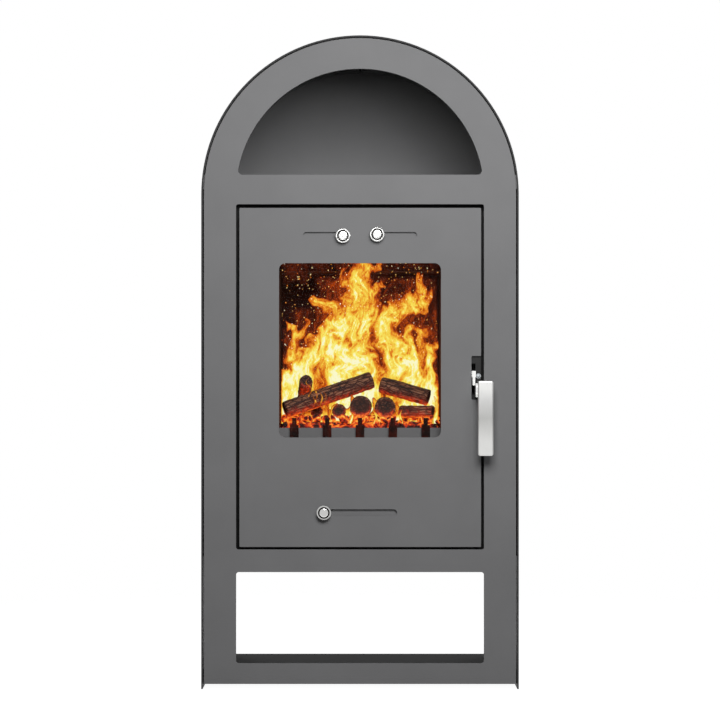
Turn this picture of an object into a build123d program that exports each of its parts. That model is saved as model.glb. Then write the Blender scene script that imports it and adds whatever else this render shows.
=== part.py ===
from build123d import *

import os
from math import asin, atan2, cos, hypot, radians, sin, tan

# A freestanding steel stove with an arched casing. Millimetres, +Z up, the front faces -Y.
# The origin is on the floor, in the middle of the whole object's width and depth.
# A depth is a distance behind the front rim of the casing; a negative one is in front of it.

os.makedirs("parts", exist_ok=True)

# Casing
casing_width = 440.0
casing_height = 906.0
casing_depth = 340.0
casing_sheet = 2.0
rim_recess = 1.0
rim_groove = 1.6
foot_height = 7.0
handle_proud = 32.0
spigot_proud = 50.0

# Front plate and its openings, from the foot upwards
plate_thickness = 4.0
base_bar = 28.6
log_opening_height = 126.5
log_opening_corner = 4.0
lower_bar = 31.3
door_opening_height = 478.5
door_opening_corner = 3.0
upper_bar = 41.1
niche_rise = 2.0
niche_corner = 6.0

# Sheets inside the casing
shelf_flange = 20.0
ceiling_drop = 2.0
rear_recess = 4.0
rear_rim_width = 12.0
rear_screw_radius = 2.5
rear_screw_head_radius = 4.8
rear_screw_head_height = 2.4
rear_screw_length = 9.0
rear_screw_angles = (30, 60, 90, 120, 150)
rear_screw_rows = 4
vent_length = 62.0
vent_width = 7.0
vent_count = 4
vent_pitch = 78.0

# Firebox
recess_depth = 25.0
collar_wall = 3.0
collar_gap = 2.0
frame_thickness = 4.0
mouth_margin = 13.75
mouth_rise = 30.6
mouth_drop = 33.9
mouth_corner = 6.0
box_plate = 4.0
box_reveal = 16.0
box_inner_depth = 252.0
box_headroom = 4.0
hearth_rise = 102.0
liner_thickness = 25.0
liner_height = 258.0
baffle_thickness = 15.0
baffle_depth = 165.0
brick_gap = 0.3

# Flue outlet
flue_radius = 59.0
flue_wall = 2.0
flue_drop = 64.0
flue_flange_radius = 78.0
flue_flange_thickness = 3.0
flue_bolt_circle_radius = 68.5
flue_bolt_radius = 3.0
flue_bolt_across = 10.0
flue_bolt_head = 4.0
flue_bolt_count = 4
flue_panel_gap = 4.0
flue_stop = 1.5

# Hearth
grate_width = 190.0
grate_depth = 160.0
grate_thickness = 12.0
grate_lip = 8.0
grate_lip_thickness = 4.0
grate_slots = 9
grate_slot_width = 7.0
sill_height = 35.0
sill_setback = 6.0
sill_thickness = 3.0
guard_fingers = 5
guard_pitch = 46.0
guard_bar_height = 10.0
guard_finger_width = 12.0
guard_finger_rise = 4.0
guard_prong_width = 6.0
guard_height = 49.0
guard_thickness = 5.0
ash_pan_side_gap = 11.0
ash_pan_depth = 205.0
ash_pan_height = 70.0
ash_pan_sheet = 1.5
ash_pan_setback = 20.0
ash_pan_handle_width = 70.0
ash_pan_handle_reach = 16.0

# Fire bed
bed_side_gap = 2.0
bed_end_gap = 7.0
bed_height = 46.0
bed_corner = 12.0
log_gap = 0.3

# Door
door_gap_hinge = 4.7
door_gap_latch = 4.0
door_gap_top = 5.0
door_gap_bottom = 3.6
door_corner = 1.5
window_width = 224.5
window_height = 241.7
window_corner = 9.0
window_rise = 151.7
glass_overlap = 15.0
glass_thickness = 4.0
gasket_thickness = 2.0
gasket_width = 12.0
inner_frame_margin = 2.0
inner_frame_depth = 17.0
inner_frame_sheet = 2.0
inner_opening_overlap = 2.0
rope_width = 9.0
rope_inset = 3.5
rope_gap = 0.3
clip_height = 26.0
clip_grip = 8.0
clip_foot = 11.0
clip_sheet = 2.0
clip_rows = 3
frame_stud_inset = 40.0
air_hole_count = 5
stud_radius = 2.5
stud_fit = 0.05
nut_across = 8.0
nut_height = 4.0

# Hinges
pivot_inset = 12.0
pivot_setback = 6.0
hinge_pin_radius = 3.0
hinge_pin_head_radius = 5.0
hinge_pin_head_height = 2.5
pin_fit = 0.05
knuckle_radius = 5.5
knuckle_length = 26.0
lug_thickness = 6.0
lug_play = 0.5
lug_root_width = 10.0
hinge_base_thickness = 3.0
hinge_from_edge = 75.0
door_open_angle = 110.0

# Latch and handle
notch_depth = 13.3
notch_rise = 204.0
notch_height = 60.7
notch_corner = 2.0
pivot_rise = 33.0
latch_pivot_setback = 9.0
lever_inset = 12.0
lever_thickness = 3.5
lever_head_overhang = 0.9
lever_head_height = 9.0
lever_head_depth = 2.5
lobe_radius = 7.0
latch_pin_radius = 3.0
latch_pin_head = 2.0
hook_reach = 28.5
hook_arm_half = 5.0
hook_nose_length = 6.5
hook_nose_top = 6.4
keeper_above = 7.0
keeper_below = 24.0
keeper_side = 1.8
ear_thickness = 4.0
ear_gap = 1.0
ear_height = 18.0
bracket_thickness = 3.0
bracket_gap = 2.45
bracket_overlap = 13.0
keeper_screw_radius = 1.5
keeper_flange_radius = 3.4
keeper_flange_height = 0.9
keeper_screw_head = 2.4
keeper_head_height = 2.2
flange_thickness = 2.6
flange_rise = 4.0
flange_height = 19.0
flange_swing_room = 5.0
lever_arm_width = 3.0
grip_top_gap = 3.8
grip_width = 21.4
grip_length = 103.7
grip_thickness = 8.0
grip_corner = 3.7
grip_edge = 2.0
grip_rivet_radius = 2.0
grip_rivet_length = 9.0

# Air sliders
slot_width = 9.0
slot_play = 0.8
top_slot_rise = 38.6
top_knob_inset = 23.7
top_guide_gap = 6.25
top_knob_offset = 0.9
bottom_slot_drop = 104.0
bottom_knob_inset = 50.0
bottom_frame_gap = 13.2
air_plate_height = 24.0
air_plate_thickness = 2.0
air_plate_overlap = 5.0
slide_gap = 0.3
guide_lip = 3.0
guide_width = 9.0
guide_sheet = 2.0
knob_shank_radius = 3.0
knob_radius = 9.95
knob_height = 8.7
knob_floor = 2.5
knob_bore_radius = 8.1
knob_head_radius = 6.3
knob_head_height = 6.4
weld_nut_radius = 5.5
weld_nut_height = 5.0

# Places worked out from the sizes above
arch_radius = casing_width / 2
arch_z = casing_height - arch_radius
inner_half = arch_radius - casing_sheet
rim_y = handle_proud - (handle_proud + casing_depth + spigot_proud) / 2

mouth_width = window_width + 2 * mouth_margin
glass_half = window_width / 2 + glass_overlap
clip_x = glass_half + brick_gap + clip_foot / 2
inner_frame_inside = max(mouth_width / 2 + rope_inset + rope_width, clip_x + clip_foot / 2)
inner_frame_wall = inner_frame_inside + inner_frame_margin
inner_frame_half = inner_frame_wall + inner_frame_sheet
bracket_width = notch_depth + bracket_overlap / 2 + bracket_thickness
opening_half = inner_frame_half + bracket_gap + bracket_width + door_gap_latch

log_bottom = foot_height + base_bar
log_top = log_bottom + log_opening_height
door_opening_bottom = log_top + lower_bar
door_opening_top = door_opening_bottom + door_opening_height
niche_bottom = door_opening_top + upper_bar
niche_z = arch_z + niche_rise
ceiling_z = log_top + ceiling_drop
box_bottom = ceiling_z + casing_sheet

plate_back = rim_recess + plate_thickness
frame_face = plate_back + recess_depth
frame_back = frame_face + frame_thickness
box_back = frame_back + box_inner_depth
box_rear = box_back + box_plate
panel_face = casing_depth - rear_recess - casing_sheet
rim_face = panel_face - casing_sheet
mouth_bottom = door_opening_bottom + mouth_rise
mouth_top = door_opening_top - mouth_drop
mouth_height = mouth_top - mouth_bottom
mouth_z = mouth_bottom + mouth_height / 2
box_half = mouth_width / 2 + box_reveal
box_top = niche_bottom - casing_sheet - box_headroom
flue_height = box_top - flue_drop
hearth_height = mouth_bottom + hearth_rise
liner_top = hearth_height + liner_height
bed_top = hearth_height + bed_height
sill_front = frame_back + sill_setback
sill_back = sill_front + sill_thickness
liner_face = box_back - liner_thickness
bed_width = 2 * (box_half - liner_thickness - bed_side_gap)
bed_depth = liner_face - sill_back - 2 * bed_end_gap
ash_pan_width = mouth_width - 2 * ash_pan_side_gap

door_left = -opening_half + door_gap_hinge
door_right = opening_half - door_gap_latch
door_bottom = door_opening_bottom + door_gap_bottom
door_top = door_opening_top - door_gap_top
door_width = door_right - door_left
door_height = door_top - door_bottom
door_x = (door_left + door_right) / 2
door_z = (door_bottom + door_top) / 2
window_bottom = door_bottom + window_rise
window_top = window_bottom + window_height
window_z = (window_bottom + window_top) / 2
glass_front = plate_back + gasket_thickness
glass_back = glass_front + glass_thickness
notch_bottom = door_bottom + notch_rise
pivot_height = notch_bottom + pivot_rise
lever_left = door_right - lever_inset


def front_plane(depth: float) -> Plane:
    """Plane that faces the front at a depth behind the rim; extrusions grow towards the front."""
    return Plane.XZ.offset(-(rim_y + depth))


def behind(depth: float) -> float:
    """Y coordinate of a depth behind the rim."""
    return rim_y + depth


def arch_outline(inset: float, bottom: float) -> Sketch:
    """Outline of the casing drawn in by an inset, with a flat bottom."""
    radius = arch_radius - inset
    with BuildSketch(mode=Mode.PRIVATE) as outline:
        with Locations((0, arch_z)):
            Circle(radius)
            Rectangle(2 * radius, arch_z - bottom, align=(Align.CENTER, Align.MAX))
        with Locations((0, bottom)):
            Rectangle(2 * casing_width, casing_height, align=(Align.CENTER, Align.MAX), mode=Mode.SUBTRACT)
    return outline.sketch


def arch_band(inset: float, bottom: float, top: float) -> Sketch:
    """Slice of the arched outline between two heights."""
    outline = arch_outline(inset, bottom)
    with BuildSketch(mode=Mode.PRIVATE) as band:
        add(outline)
        with Locations((0, top)):
            Rectangle(2 * casing_width, casing_height, align=(Align.CENTER, Align.MIN), mode=Mode.SUBTRACT)
    return band.sketch


def niche_outline() -> Sketch:
    """Round-topped opening of the niche, cut off flat at its shelf."""
    with BuildSketch(mode=Mode.PRIVATE) as outline:
        with Locations((0, niche_z)):
            Circle(opening_half)
        with Locations((0, niche_bottom)):
            Rectangle(casing_width, casing_height, align=(Align.CENTER, Align.MAX), mode=Mode.SUBTRACT)
        fillet(outline.vertices().sort_by(Axis.Y)[:2], niche_corner)
    return outline.sketch


def span(low_x: float, high_x: float, low_z: float, high_z: float) -> Sketch:
    """Plain rectangle between two pairs of limits."""
    with BuildSketch(mode=Mode.PRIVATE) as face:
        with Locations(((low_x + high_x) / 2, (low_z + high_z) / 2)):
            Rectangle(high_x - low_x, high_z - low_z)
    return face.sketch


# Casing: two flat side sheets, whose lower edges are the feet, and a rolled sheet over the top.
# The butt welds where the arch starts are ground flush and painted over.
with BuildPart() as casing_side_left:
    with BuildSketch(front_plane(casing_depth)):
        add(span(-arch_radius, -inner_half, 0, arch_z))
    extrude(amount=casing_depth)
casing_side_left.part.label = "casing_side_left"
export_step(casing_side_left.part, "parts/casing_side_left.step")

with BuildPart() as casing_side_right:
    with BuildSketch(front_plane(casing_depth)):
        add(span(inner_half, arch_radius, 0, arch_z))
    extrude(amount=casing_depth)
casing_side_right.part.label = "casing_side_right"
export_step(casing_side_right.part, "parts/casing_side_right.step")

with BuildPart() as casing_arch:
    with BuildSketch(front_plane(casing_depth)):
        with Locations((0, arch_z)):
            Circle(arch_radius)
            Circle(inner_half, mode=Mode.SUBTRACT)
            Rectangle(casing_width, casing_width, align=(Align.CENTER, Align.MAX), mode=Mode.SUBTRACT)
    extrude(amount=casing_depth)
casing_arch.part.label = "casing_arch"
export_step(casing_arch.part, "parts/casing_arch.step")

# Front plate, set back a little from the rim and inside a narrow groove
log_opening_z = (log_bottom + log_top) / 2
door_opening_z = (door_opening_bottom + door_opening_top) / 2
with BuildPart() as front_plate:
    with BuildSketch(front_plane(plate_back)):
        add(arch_outline(casing_sheet + rim_groove, foot_height))
        add(niche_outline(), mode=Mode.SUBTRACT)
        with Locations((0, door_opening_z)):
            RectangleRounded(2 * opening_half, door_opening_height, door_opening_corner, mode=Mode.SUBTRACT)
        with Locations((0, log_opening_z)):
            RectangleRounded(2 * opening_half, log_opening_height, log_opening_corner, mode=Mode.SUBTRACT)
    extrude(amount=plate_thickness)
front_plate.part.label = "front_plate"
export_step(front_plate.part, "parts/front_plate.step")

# Shelf of the niche: its side flanges point down and follow the wrap's curve
shelf_depth = rim_face - plate_back
with BuildPart() as niche_floor:
    with BuildSketch(front_plane(rim_face)):
        add(arch_band(casing_sheet, niche_bottom - shelf_flange, niche_bottom))
        add(
            arch_band(2 * casing_sheet, niche_bottom - shelf_flange, niche_bottom - casing_sheet),
            mode=Mode.SUBTRACT,
        )
    extrude(amount=shelf_depth)
niche_floor.part.label = "niche_floor"
export_step(niche_floor.part, "parts/niche_floor.step")

# Places of the rear screws: along the arch, down both sides and along the bottom edge
rear_screw_line = inner_half - rear_rim_width / 2
rear_screw_low = ceiling_z + shelf_flange + 2 * rear_screw_head_radius
rear_screw_step = (arch_z - rear_screw_low) / (rear_screw_rows - 1)
rear_screw_heights = [rear_screw_low + k * rear_screw_step for k in range(rear_screw_rows)]
rim_screw_places = [
    (rear_screw_line * cos(radians(angle)), arch_z + rear_screw_line * sin(radians(angle)))
    for angle in rear_screw_angles
]
rim_screw_places += [(side * rear_screw_line, z) for side in (-1, 1) for z in rear_screw_heights]
sill_screw_places = [(k * rear_screw_line / 2, ceiling_z + shelf_flange / 2) for k in (-1, 0, 1)]
rear_screw_places = rim_screw_places + sill_screw_places

# Sheet over the log store: it carries the firebox, and its rear edge turns up for the back panel
upstand_half = inner_half - rear_rim_width
with BuildPart() as log_store_ceiling:
    with BuildSketch(front_plane(rim_face)):
        add(arch_band(casing_sheet, ceiling_z, ceiling_z + shelf_flange))
        add(arch_band(2 * casing_sheet, box_bottom, ceiling_z + shelf_flange), mode=Mode.SUBTRACT)
    extrude(amount=shelf_depth)
    with BuildSketch(front_plane(panel_face)):
        add(span(-upstand_half, upstand_half, ceiling_z, ceiling_z + shelf_flange))
        with Locations(*sill_screw_places):
            Circle(rear_screw_radius + stud_fit, mode=Mode.SUBTRACT)
    extrude(amount=2 * casing_sheet)
log_store_ceiling.part.label = "log_store_ceiling"
export_step(log_store_ceiling.part, "parts/log_store_ceiling.step")

# Floor of the log store
log_floor_z = foot_height + casing_sheet
with BuildPart() as log_store_floor:
    with BuildSketch(front_plane(panel_face + casing_sheet)):
        add(arch_band(casing_sheet, foot_height, foot_height + shelf_flange))
        add(arch_band(2 * casing_sheet, log_floor_z, foot_height + shelf_flange), mode=Mode.SUBTRACT)
    extrude(amount=panel_face + casing_sheet - plate_back)
log_store_floor.part.label = "log_store_floor"
export_step(log_store_floor.part, "parts/log_store_floor.step")

# Strip inside the wrap's rear edge that the back panel is screwed to, cut away for the two sheets
rim_bottom = foot_height + shelf_flange
with BuildPart() as rear_rim:
    with BuildSketch(front_plane(panel_face)):
        add(arch_outline(casing_sheet, rim_bottom))
        add(arch_outline(casing_sheet + rear_rim_width, rim_bottom), mode=Mode.SUBTRACT)
        with Locations(*rim_screw_places):
            Circle(rear_screw_radius + stud_fit, mode=Mode.SUBTRACT)
    extrude(amount=casing_sheet)
rear_rim.part.label = "rear_rim"
export_step(rear_rim.part, "parts/rear_rim.step")

# Back panel with its flue hole and two rows of convection slots
vent_columns = [(k - (vent_count - 1) / 2) * vent_pitch for k in range(vent_count)]
vent_places = [(x, box_bottom + 2 * shelf_flange) for x in vent_columns]
vent_clear_x = flue_radius + vent_length / 2
vent_places += [(x, niche_bottom - shelf_flange) for x in vent_columns if abs(x) > vent_clear_x]
with BuildPart() as back_panel:
    with BuildSketch(front_plane(panel_face + casing_sheet)):
        add(arch_outline(casing_sheet + brick_gap, ceiling_z))
        with Locations((0, flue_height)):
            Circle(flue_radius + flue_panel_gap, mode=Mode.SUBTRACT)
        with Locations(*rear_screw_places):
            Circle(rear_screw_radius + stud_fit, mode=Mode.SUBTRACT)
        with Locations(*vent_places):
            SlotOverall(vent_length, vent_width, mode=Mode.SUBTRACT)
    extrude(amount=casing_sheet)
back_panel.part.label = "back_panel"
export_step(back_panel.part, "parts/back_panel.step")

# Sealing frame behind the front plate, with the walls of the door recess and the latch's keeper slot
collar_half = opening_half + collar_gap + collar_wall
collar_height = door_opening_height + 2 * (collar_gap + collar_wall)
keeper_left = lever_left - keeper_side
keeper_right = lever_left + lever_thickness + keeper_side
with BuildPart() as firebox_front_frame:
    with BuildSketch(front_plane(frame_back)):
        add(span(-collar_half, collar_half, box_bottom, box_top))
        with Locations((0, mouth_z)):
            RectangleRounded(mouth_width, mouth_height, mouth_corner, mode=Mode.SUBTRACT)
        add(
            span(keeper_left, keeper_right, pivot_height - keeper_below, pivot_height + keeper_above),
            mode=Mode.SUBTRACT,
        )
    extrude(amount=frame_thickness)
    with BuildSketch(front_plane(frame_face)):
        with Locations((0, door_opening_z)):
            Rectangle(2 * collar_half, collar_height)
            Rectangle(2 * (collar_half - collar_wall), collar_height - 2 * collar_wall, mode=Mode.SUBTRACT)
    extrude(amount=recess_depth)
firebox_front_frame.part.label = "firebox_front_frame"
export_step(firebox_front_frame.part, "parts/firebox_front_frame.step")

# Firebox plates: two sides, back, top and floor
box_side_top = box_top - box_plate
for side_name, side in (("left", -1), ("right", 1)):
    with BuildPart() as firebox_side:
        with BuildSketch(front_plane(box_back)):
            low_x, high_x = sorted((side * box_half, side * (box_half + box_plate)))
            add(span(low_x, high_x, box_bottom, box_side_top))
        extrude(amount=box_inner_depth)
    firebox_side.part.label = f"firebox_side_{side_name}"
    export_step(firebox_side.part, f"parts/firebox_side_{side_name}.step")

flue_bolt_angles = [(k + 0.5) * 360 / flue_bolt_count for k in range(flue_bolt_count)]
flue_bolt_places = [
    (flue_bolt_circle_radius * cos(radians(a)), flue_height + flue_bolt_circle_radius * sin(radians(a)))
    for a in flue_bolt_angles
]
with BuildPart() as firebox_back:
    with BuildSketch(front_plane(box_rear)):
        add(span(-box_half - box_plate, box_half + box_plate, box_bottom, box_side_top))
        with Locations((0, flue_height)):
            Circle(flue_radius - flue_wall, mode=Mode.SUBTRACT)
        with Locations(*flue_bolt_places):
            Circle(flue_bolt_radius + stud_fit, mode=Mode.SUBTRACT)
    extrude(amount=box_plate)
firebox_back.part.label = "firebox_back"
export_step(firebox_back.part, "parts/firebox_back.step")

with BuildPart() as firebox_top:
    with BuildSketch(front_plane(box_rear)):
        add(span(-box_half - box_plate, box_half + box_plate, box_side_top, box_top))
    extrude(amount=box_rear - frame_back)
firebox_top.part.label = "firebox_top"
export_step(firebox_top.part, "parts/firebox_top.step")

with BuildPart() as firebox_floor:
    with BuildSketch(front_plane(box_back)):
        add(span(-box_half, box_half, mouth_bottom - box_plate, mouth_bottom))
    extrude(amount=box_inner_depth)
firebox_floor.part.label = "firebox_floor"
export_step(firebox_floor.part, "parts/firebox_floor.step")

# Flue outlet: a short pipe on a round flange, through the back panel's hole.
# It is a little wider up to the casing's rear edge, which stops the smoke pipe that slides over it.
with BuildPart() as flue_spigot:
    with BuildSketch(front_plane(box_rear + flue_flange_thickness)):
        with Locations((0, flue_height)):
            Circle(flue_flange_radius)
            Circle(flue_radius - flue_wall, mode=Mode.SUBTRACT)
        with Locations(*flue_bolt_places):
            Circle(flue_bolt_radius + stud_fit, mode=Mode.SUBTRACT)
        add(
            span(-flue_flange_radius, flue_flange_radius, box_top, box_top + flue_flange_radius),
            mode=Mode.SUBTRACT,
        )
    extrude(amount=flue_flange_thickness)
    for start, end, radius in (
        (box_rear, casing_depth, flue_radius + flue_stop),
        (casing_depth, casing_depth + spigot_proud, flue_radius),
    ):
        with BuildSketch(front_plane(end)):
            with Locations((0, flue_height)):
                Circle(radius)
                Circle(flue_radius - flue_wall, mode=Mode.SUBTRACT)
        extrude(amount=end - start)
flue_spigot.part.label = "flue_spigot"
export_step(flue_spigot.part, "parts/flue_spigot.step")

# Hex bolts of the flange: heads behind it, ends inside the firebox back
with BuildPart() as flue_spigot_bolts:
    with BuildSketch(front_plane(box_rear + flue_flange_thickness + flue_bolt_head)):
        with Locations(*flue_bolt_places):
            RegularPolygon(flue_bolt_across / 2, 6, major_radius=False)
    extrude(amount=flue_bolt_head)
    with BuildSketch(front_plane(box_rear + flue_flange_thickness)):
        with Locations(*flue_bolt_places):
            Circle(flue_bolt_radius)
    extrude(amount=flue_flange_thickness + box_plate)
flue_spigot_bolts.part.label = "flue_spigot_bolts"
export_step(flue_spigot_bolts.part, "parts/flue_spigot_bolts.step")

# Pan-head screws of the back panel
with BuildPart() as back_panel_screws:
    with BuildSketch(front_plane(panel_face + casing_sheet + rear_screw_head_height)):
        with Locations(*rear_screw_places):
            Circle(rear_screw_head_radius)
    extrude(amount=rear_screw_head_height)
    with BuildSketch(front_plane(panel_face + casing_sheet)):
        with Locations(*rear_screw_places):
            Circle(rear_screw_radius)
    extrude(amount=rear_screw_length)
    chamfer(back_panel_screws.faces().sort_by(Axis.Y)[-1].edges(), 0.5)
back_panel_screws.part.label = "back_panel_screws"
export_step(back_panel_screws.part, "parts/back_panel_screws.step")

# Hearth: the plate that carries the grate, halfway between the sill and the rear bricks
hearth_depth = (sill_back + liner_face) / 2
hearth_y = behind(hearth_depth)
with BuildPart() as hearth_shelf:
    with BuildSketch(Plane.XY.offset(hearth_height - box_plate)):
        with Locations((0, behind((frame_back + box_back) / 2))):
            Rectangle(2 * box_half, box_inner_depth)
        with Locations((0, hearth_y)):
            Rectangle(grate_width - 2 * grate_lip, grate_depth - 2 * grate_lip, mode=Mode.SUBTRACT)
    extrude(amount=box_plate)
hearth_shelf.part.label = "hearth_shelf"
export_step(hearth_shelf.part, "parts/hearth_shelf.step")

# Grate: its lip lies on the shelf and its slotted body drops into the opening
grate_top = hearth_height + grate_lip_thickness
grate_body_width = grate_width - 2 * grate_lip - 2 * log_gap
grate_body_depth = grate_depth - 2 * grate_lip - 2 * log_gap
grate_slot_pitch = grate_body_width / grate_slots
with BuildPart() as grate:
    with BuildSketch(Plane.XY.offset(grate_top - grate_thickness)):
        with Locations((0, hearth_y)):
            Rectangle(grate_body_width, grate_body_depth)
    extrude(amount=grate_thickness)
    with BuildSketch(Plane.XY.offset(hearth_height)):
        with Locations((0, hearth_y)):
            RectangleRounded(grate_width, grate_depth, grate_lip_thickness)
    extrude(amount=grate_lip_thickness)
    with BuildSketch(Plane.XY.offset(grate_top)):
        with Locations((0, hearth_y)):
            with GridLocations(grate_slot_pitch, 0, grate_slots, 1):
                SlotOverall(grate_body_depth - 2 * grate_lip, grate_slot_width, rotation=90)
    extrude(amount=-grate_thickness, mode=Mode.SUBTRACT)
grate.part.label = "grate"
export_step(grate.part, "parts/grate.step")

# Fire bricks: two side boards, a rear board, and the smoke baffle lying on them
for side_name, side in (("left", -1), ("right", 1)):
    low_x, high_x = sorted((side * box_half, side * (box_half - liner_thickness)))
    with BuildPart() as liner_side:
        with BuildSketch(front_plane(liner_face)):
            add(span(low_x, high_x, hearth_height, liner_top))
        extrude(amount=liner_face - sill_back)
    liner_side.part.label = f"liner_{side_name}"
    export_step(liner_side.part, f"parts/liner_{side_name}.step")

with BuildPart() as liner_back:
    with BuildSketch(front_plane(box_back)):
        add(span(-box_half, box_half, hearth_height, liner_top))
    extrude(amount=liner_thickness)
liner_back.part.label = "liner_back"
export_step(liner_back.part, "parts/liner_back.step")

with BuildPart() as baffle:
    with BuildSketch(front_plane(box_back)):
        add(span(brick_gap - box_half, box_half - brick_gap, liner_top, liner_top + baffle_thickness))
    extrude(amount=baffle_depth)
baffle.part.label = "baffle"
export_step(baffle.part, "parts/baffle.step")

# Ash pan under the grate, with a strap handle on its front
pan_front = frame_back + ash_pan_setback
with BuildPart() as ash_pan:
    with BuildSketch(Plane.XY.offset(mouth_bottom)):
        with Locations((0, behind(pan_front + ash_pan_depth / 2))):
            Rectangle(ash_pan_width, ash_pan_depth)
    extrude(amount=ash_pan_height)
    with BuildSketch(Plane.XY.offset(mouth_bottom + ash_pan_sheet)):
        with Locations((0, behind(pan_front + ash_pan_depth / 2))):
            Rectangle(ash_pan_width - 2 * ash_pan_sheet, ash_pan_depth - 2 * ash_pan_sheet)
    extrude(amount=ash_pan_height, mode=Mode.SUBTRACT)
ash_pan.part.label = "ash_pan"
export_step(ash_pan.part, "parts/ash_pan.step")

with BuildPart() as ash_pan_handle:
    with BuildSketch(Plane.XY.offset(mouth_bottom + ash_pan_height / 2)):
        with Locations((0, behind(pan_front))):
            Rectangle(ash_pan_handle_width, ash_pan_handle_reach, align=(Align.CENTER, Align.MAX))
            Rectangle(
                ash_pan_handle_width - 4 * ash_pan_sheet,
                ash_pan_handle_reach - 2 * ash_pan_sheet,
                align=(Align.CENTER, Align.MAX),
                mode=Mode.SUBTRACT,
            )
    extrude(amount=ash_pan_handle_reach)
ash_pan_handle.part.label = "ash_pan_handle"
export_step(ash_pan_handle.part, "parts/ash_pan_handle.step")

# Sill that keeps the embers off the glass, and the cast comb that stands in front of it
with BuildPart() as hearth_sill:
    with BuildSketch(front_plane(sill_back)):
        add(span(-box_half, box_half, hearth_height, hearth_height + sill_height))
    extrude(amount=sill_thickness)
hearth_sill.part.label = "hearth_sill"
export_step(hearth_sill.part, "parts/hearth_sill.step")

guard_half = guard_pitch * (guard_fingers - 1) / 2 + guard_finger_width
guard_finger_height = sill_height + guard_finger_rise
with BuildPart() as log_guard:
    with BuildSketch(front_plane(sill_front)):
        add(span(-guard_half, guard_half, hearth_height, hearth_height + guard_bar_height))
        with Locations((0, hearth_height + guard_finger_height / 2)):
            with GridLocations(guard_pitch, 0, guard_fingers, 1):
                Rectangle(guard_finger_width, guard_finger_height)
        with Locations((0, hearth_height + guard_height / 2)):
            with GridLocations(guard_pitch, 0, guard_fingers, 1):
                Rectangle(guard_prong_width, guard_height)
    extrude(amount=guard_thickness)
log_guard.part.label = "log_guard"
export_step(log_guard.part, "parts/log_guard.step")

# Ember bed: a low heap over the grate, hollowed for the grate's lip. Its edges fall off to the sill's height.
with BuildPart() as ember_bed:
    with BuildSketch(Plane.XY.offset(hearth_height)):
        with Locations((0, hearth_y)):
            RectangleRounded(bed_width, bed_depth, bed_corner)
    extrude(amount=bed_height)
    chamfer(ember_bed.faces().sort_by(Axis.Z)[-1].edges(), bed_height - sill_height)
    with BuildSketch(Plane.XY.offset(hearth_height)):
        with Locations((0, hearth_y)):
            Rectangle(grate_width + 2 * log_gap, grate_depth + 2 * log_gap)
    extrude(amount=grate_lip_thickness, mode=Mode.SUBTRACT)
ember_bed.part.label = "ember_bed"
export_step(ember_bed.part, "parts/ember_bed.step")

# Firewood: a row of logs that point to the door, and others across them.
# A place across the bed is in percent of its half width, and a place behind the sill in millimetres.
# A log beside or across a neighbour takes its place from it, with the gap or the shift in millimetres.
outer_left_place = -54
middle_place = 1
outer_right_place = 82
inner_left_gap = 3.0
inner_right_gap = 1.5
end_on_radii = (10.0, 11.0, 17.0, 16.0, 8.0)
end_on_nears = (52.0, 26.0, 30.0, 20.0, 50.0)
end_on_fars = (140.0, 140.0, 182.0, 150.0, 160.0)
long_log_radius = 14.0
long_log_place = -92
long_log_overhang = 15.0
long_log_nears = (22.0, 56.0)
raised_log_radius = 11.0
raised_log_gap = 1.0
raised_log_turn = 8.0
raised_log_nears = (150.0, 24.0)
cross_log_radius = 13.5
cross_log_overhang = 5.5
cross_log_place = 85
cross_log_nears = (78.0, 62.0)
front_log_radius = 10.5
front_log_gap = 6.0
front_log_place = 90
front_log_nears = (44.0, 22.0)
bark_edge = 1.5


def across_bed(percent: float) -> float:
    """X coordinate of a place across the bed."""
    return percent / 100 * bed_width / 2


def flat_log(ends_x: tuple, nears: tuple, radius: float) -> tuple:
    """Both ends and the radius of a log that lies flat on the bed."""
    z = bed_top + log_gap + radius
    ends = [Vector(x, behind(sill_back + near), z) for x, near in zip(ends_x, nears)]
    return ends[0], ends[1], radius


def leaning_log(ends_x: tuple, nears: tuple, radius: float, support: tuple) -> tuple:
    """Both ends and the radius of a log whose first end lies on the bed and which leans on another log."""
    other_start, other_end, other_radius = support
    first, second, _ = flat_log(ends_x, nears, radius)
    least_rise = 0.0
    most_rise = (second - first).length
    while most_rise - least_rise > log_gap / 100:
        rise = (least_rise + most_rise) / 2
        lean = atan2(rise, (second - first).length)
        low_end = first - Vector(0, 0, radius * (1 - cos(lean)))
        high_end = low_end + (second - first) + Vector(0, 0, rise)
        upwards = (other_end - other_start).cross(high_end - low_end).normalized()
        apart = abs((low_end - other_start).dot(upwards))
        above = (low_end - other_start).dot(upwards) * upwards.Z > 0
        if above and apart > radius + other_radius + log_gap:
            most_rise = rise
        else:
            least_rise = rise
    return low_end, high_end, radius


def cross_log(ends_x: tuple, nears: tuple, radius: float, left: tuple, right: tuple) -> tuple:
    """Both ends and the radius of a log that lies across two end-on logs."""
    reach = left[2] + radius + log_gap
    run = right[0].X - left[0].X
    climb = right[0].Z - left[0].Z
    lean = atan2(climb, run) + asin((right[2] - left[2]) / hypot(run, climb))
    ends = []
    for x, near in zip(ends_x, nears):
        z = left[0].Z + reach * cos(lean) + (x - left[0].X + reach * sin(lean)) * tan(lean)
        ends.append(Vector(x, behind(sill_back + near), z))
    return ends[0], ends[1], radius


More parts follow.
